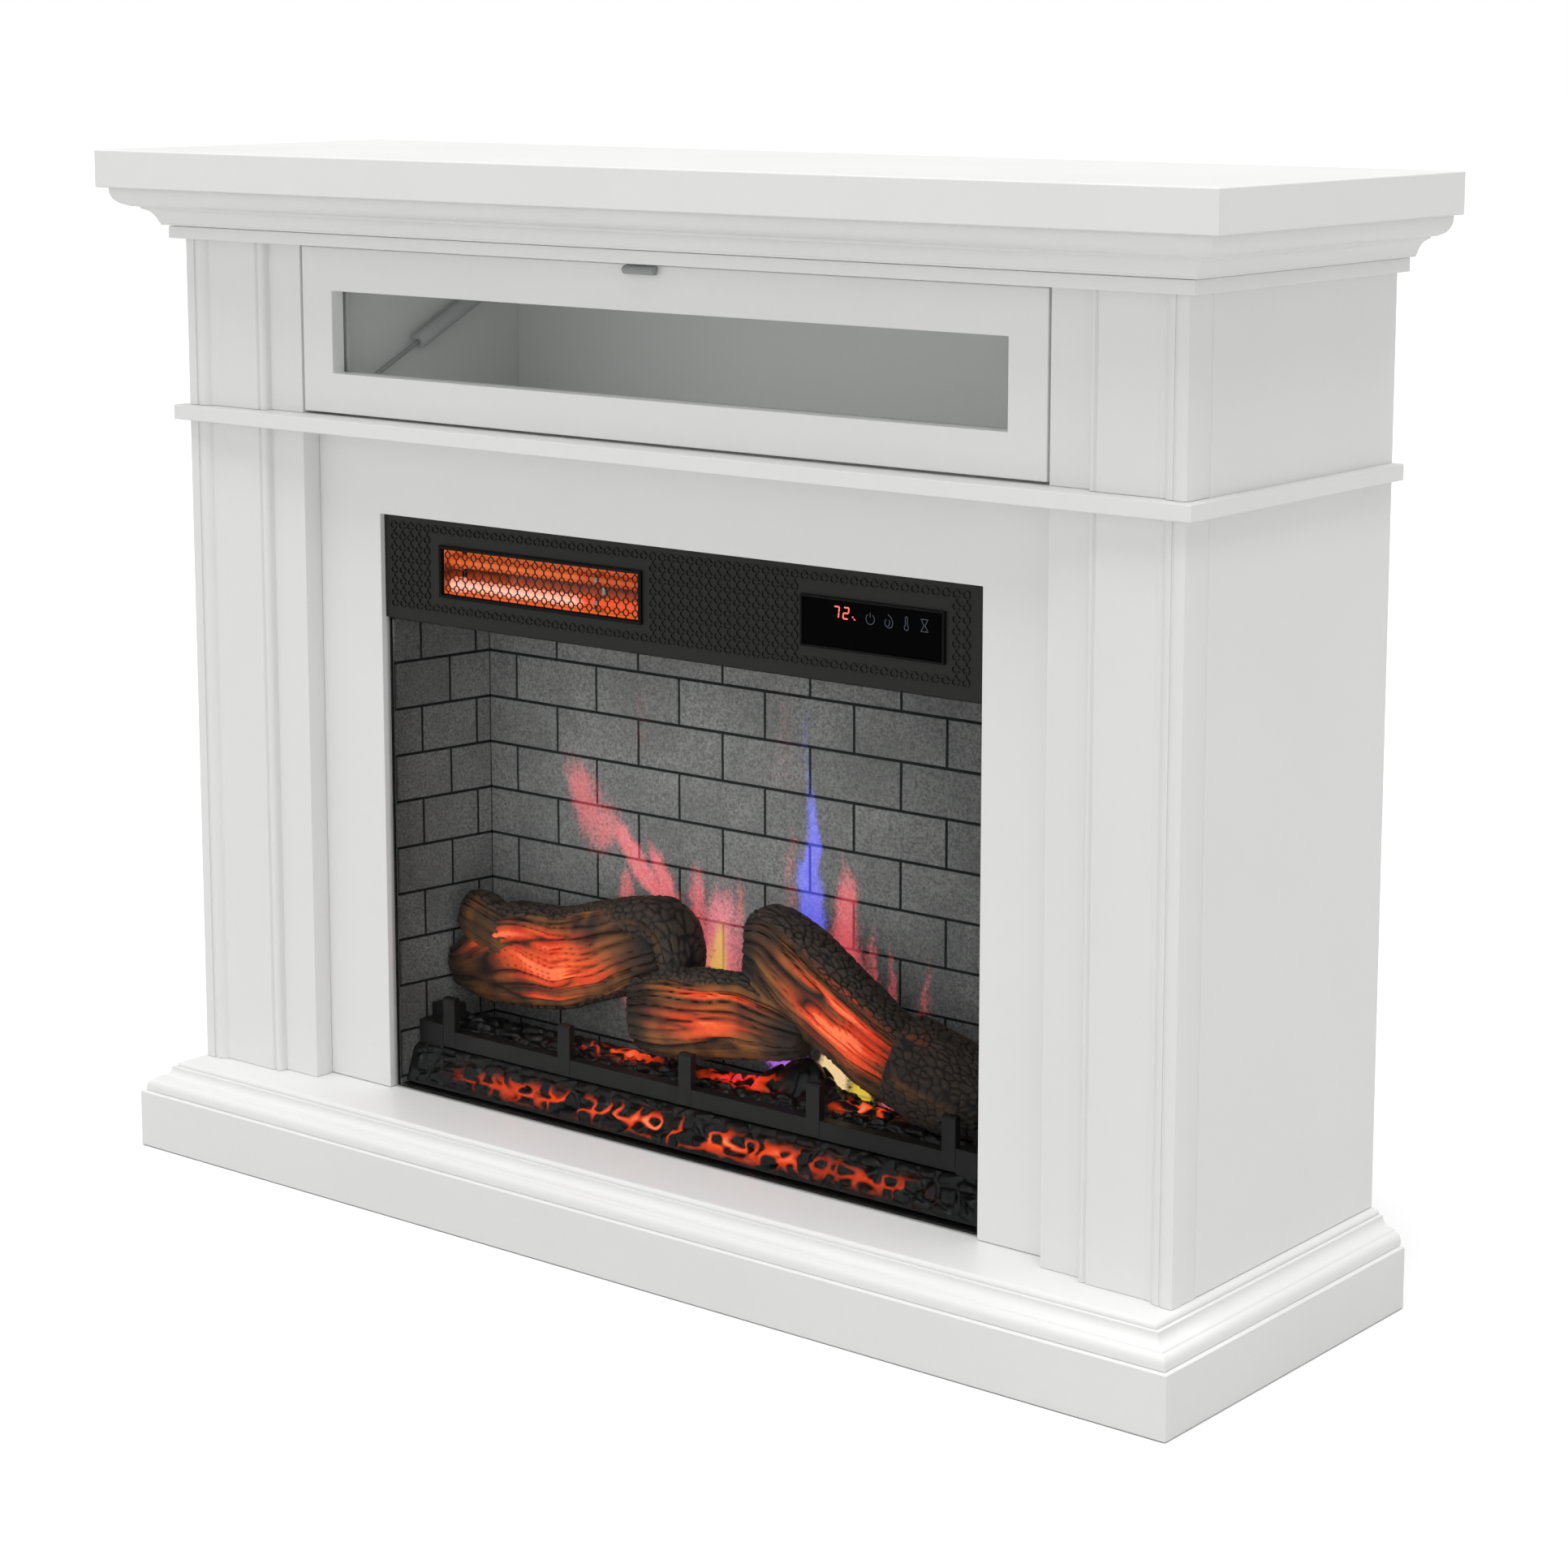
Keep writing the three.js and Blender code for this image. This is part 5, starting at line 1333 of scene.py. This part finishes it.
# %% Ember finish
ember, t, shader = new_finish("smoked_ember_resin", Specular_IOR_Level=0.35, Emission_Strength=1.0)
fleck = noise(t, 5, 3.0)
coal = blend(t, fleck, "#040404", "#10100e")
coal = blend(t, maths(t, "MULTIPLY", attribute(t, "lump"), 0.5), coal, "#0c0c0b")
stops = [(0, "#000000"), (0.12, "#1e0500"), (0.4, "#c03208"), (0.7, "#ff5018"), (1, "#ff9468")]
glow = ramp(t, attribute(t, "shine"), stops)
glow = blend(t, attribute(t, "violet"), glow, "#f45ab0", "MULTIPLY")
wire(t, shader, Base_Color=coal, Emission_Color=glow, Roughness=remap(t, fleck, 0, 1, 0.22, 0.5),
     Normal=relief(t, fleck, 0.8, 0.7))
make_piece("ember_sheet", (bed_points.reshape(-1, 3), bed_faces), ember, replaces=["ember_bed"],
           slot="ember_resin", smooth=60, extra=extra)
print("ember sheet", bed_points.shape)

# %% [markdown]
# ## Grate
# Flat black bar with five upright posts, each with a chamfered top, and stepped blocks where it meets
# the side walls. All of it is folded and welded sheet, so the edges are only slightly eased.

# %% Bar, posts and end blocks
low, high = box_mm("grate")
POSTS, POST_PITCH, POST_WIDE, BAR_TOP, END_X, END_FOOT = 5, 126.2, 12.8, 121.6, 286, 104
iron = partial(make_piece, finish=black_coat, slot="black_steel")
iron("grate_bar", block(low, (high[0], high[1], BAR_TOP)), replaces=["grate"], ease=0.6)
middles = [(k - (POSTS - 1) / 2) * POST_PITCH for k in range(POSTS)]
face, foot, top = low[1], low[2] + 1, high[2]
post = [(face - 0.4, foot), (face - 0.4, top - 1.6), (face + 1.2, top), (face + 6.4, top), (face + 6.4, foot)]
for k, middle in enumerate(middles):
    iron(f"grate_post_{k + 1}", prism(post, middle - POST_WIDE / 2, middle + POST_WIDE / 2, "x"), ease=0.5)
for side, sign in (("left", -1), ("right", 1)):
    for level, (wide, near, far, top) in enumerate(((27, -55, -36, 126), (22, -40, -22, 137))):
        x0, x1 = sorted((sign * END_X, sign * (END_X - wide)))
        iron(f"grate_end_{side}_{level + 1}", block((x0, near, END_FOOT), (x1, far, top)), ease=0.6)
print("posts at", middles)

# %% [markdown]
# ## Infrared element
# Two quartz tubes glow in front of a bright folded reflector. The lower one is the hotter; the sheet
# behind mirrors both, and that reflection is painted on the sheet as a glow: orange, with a dark line between
# the tubes.

# %% Glowing quartz and reflector with a painted reflection
COIL_END, FADE_OUT = -94.0, 12.0


def glow_and_painted_reflection(name, hex_low, hex_high, strength, level, reach, cold_end=0.0):
    """A glow that mixes two colours by height: hex_low at the middle height given, hex_high reach mm away.

    cold_end mixes in more of the second colour past the end of the heating coil. The tubes glow by their own
    light; the reflector's glow is a painted reflection of them.
    """
    made, tree, shader = new_finish(name, Roughness=0.15, Base_Color="#4a2a1c", Emission_Strength=strength)
    parts = add(tree, "SeparateXYZ", {0: add(tree, "TexCoord").outputs["Object"]})
    away = maths(tree, "ABSOLUTE", maths(tree, "SUBTRACT", parts.outputs["Z"], level * MM))
    share = maths(tree, "DIVIDE", away, reach * MM, True)
    coil = maths(tree, "MULTIPLY", maths(tree, "SUBTRACT", noise(tree, 7, 2.0), 0.5), 0.5)
    share = maths(tree, "ADD", share, coil, True)
    past = remap(tree, parts.outputs["X"], (COIL_END - FADE_OUT) * MM, COIL_END * MM, 0.0, cold_end)
    share = maths(tree, "ADD", share, past, True)
    wire(tree, shader, Emission_Color=blend(tree, share, hex_low, hex_high))
    return made


tubes = [box_mm("quartz_tube_upper"), box_mm("quartz_tube_lower")]
upper, lower = [(low[2] + high[2]) / 2 for low, high in tubes]
paint(glow_and_painted_reflection("glowing_quartz_orange", "#e8682a", "#a83408", 0.9, upper, 6, 0.5), "quartz_tube_upper")
paint(glow_and_painted_reflection("glowing_quartz_hot", "#ffbda4", "#d8481a", 1.2, lower, 7.5, 0.9), "quartz_tube_lower")
# The reflector sheet gets a painted reflection of both tubes: dark at the height between them, orange above
# and below.
painted_reflection_sheet = glow_and_painted_reflection("aluminium_with_painted_tube_reflection", "#4a1004", "#e0602a", 0.85, (upper + lower) / 2, 16)
paint(painted_reflection_sheet, "heater_reflector")
print("tube levels", round(upper, 1), round(lower, 1))

# %% Reflector cheeks and tube clip
TUBE_Y = -55.1
low, high = box_mm("heater_reflector")
cheeks = [block((x, -72.6, low[2] + 1), (x + 0.8, high[1] - 2, high[2] - 1))
          for x in (low[0] - 6.5, high[0] + 0.3)]
# The cheeks carry the same painted reflection of the tubes.
make_piece("reflector_cheeks", together(*cheeks), painted_reflection_sheet, slot="aluminium", ease=0.2)
clip_x = COIL_END + 12
hoop = [(5.1, -1.5), (6.4, -1.5), (6.4, 1.5), (5.1, 1.5)]
hoops = [turned(hoop, (clip_x, TUBE_Y, level), (1, 0, 0), 32) for level in (upper, lower)]
stem = block((clip_x - 1.5, -52, lower + 5.6), (clip_x + 1.5, -50, upper - 5.6))
make_piece("tube_clip", together(*hoops, stem), zinc, slot="bright_steel", ease=0.2)
print("clip at", clip_x)

# %% [markdown]
# ## Fixings at the back
# Nobody sees the back of a mantel against a wall, but a part that gets reused is turned round. The
# rear cover is held by pan-head screws along its edges, and the brace by two at each end.

# %% Screw heads


def pan_head(x, z, y, radius=3.4):
    """A domed head on a face that looks backwards: radius over distance, turned about Y."""
    dome = [(radius * math.cos(v), 0.6 + 1.5 * math.sin(v)) for v in np.radians(np.linspace(0, 80, 6))]
    profile = [(0, -0.4), (radius, -0.4), *dome, (1.1, 2.1), (0.9, 1.2), (0, 1.0)]
    return turned(profile, (x, y, z), (0, 1, 0), 16)


low, high = box_mm("housing_rear_cover")
EDGE_IN = 9
xs = np.linspace(low[0] + EDGE_IN, high[0] - EDGE_IN, 5)
zs = np.linspace(low[2] + EDGE_IN, high[2] - EDGE_IN, 4)
spots = [(x, z) for x in xs for z in zs if x in (xs[0], xs[-1]) or z in (zs[0], zs[-1])]
cover_screws = together(*[pan_head(x, z, high[1]) for x, z in spots])
make_piece("rear_cover_screws", cover_screws, zinc, slot="bright_steel")
low, high = box_mm("rear_brace")
ends = [(x, z) for x in (low[0] + 14, high[0] - 14) for z in (low[2] + 17, high[2] - 17)]
brace_screws = together(*[pan_head(x, z, high[1] - 1.8, 3.0) for x, z in ends])
make_piece("rear_brace_screws", brace_screws, zinc, slot="bright_steel")
print("screws", len(spots) + len(ends))
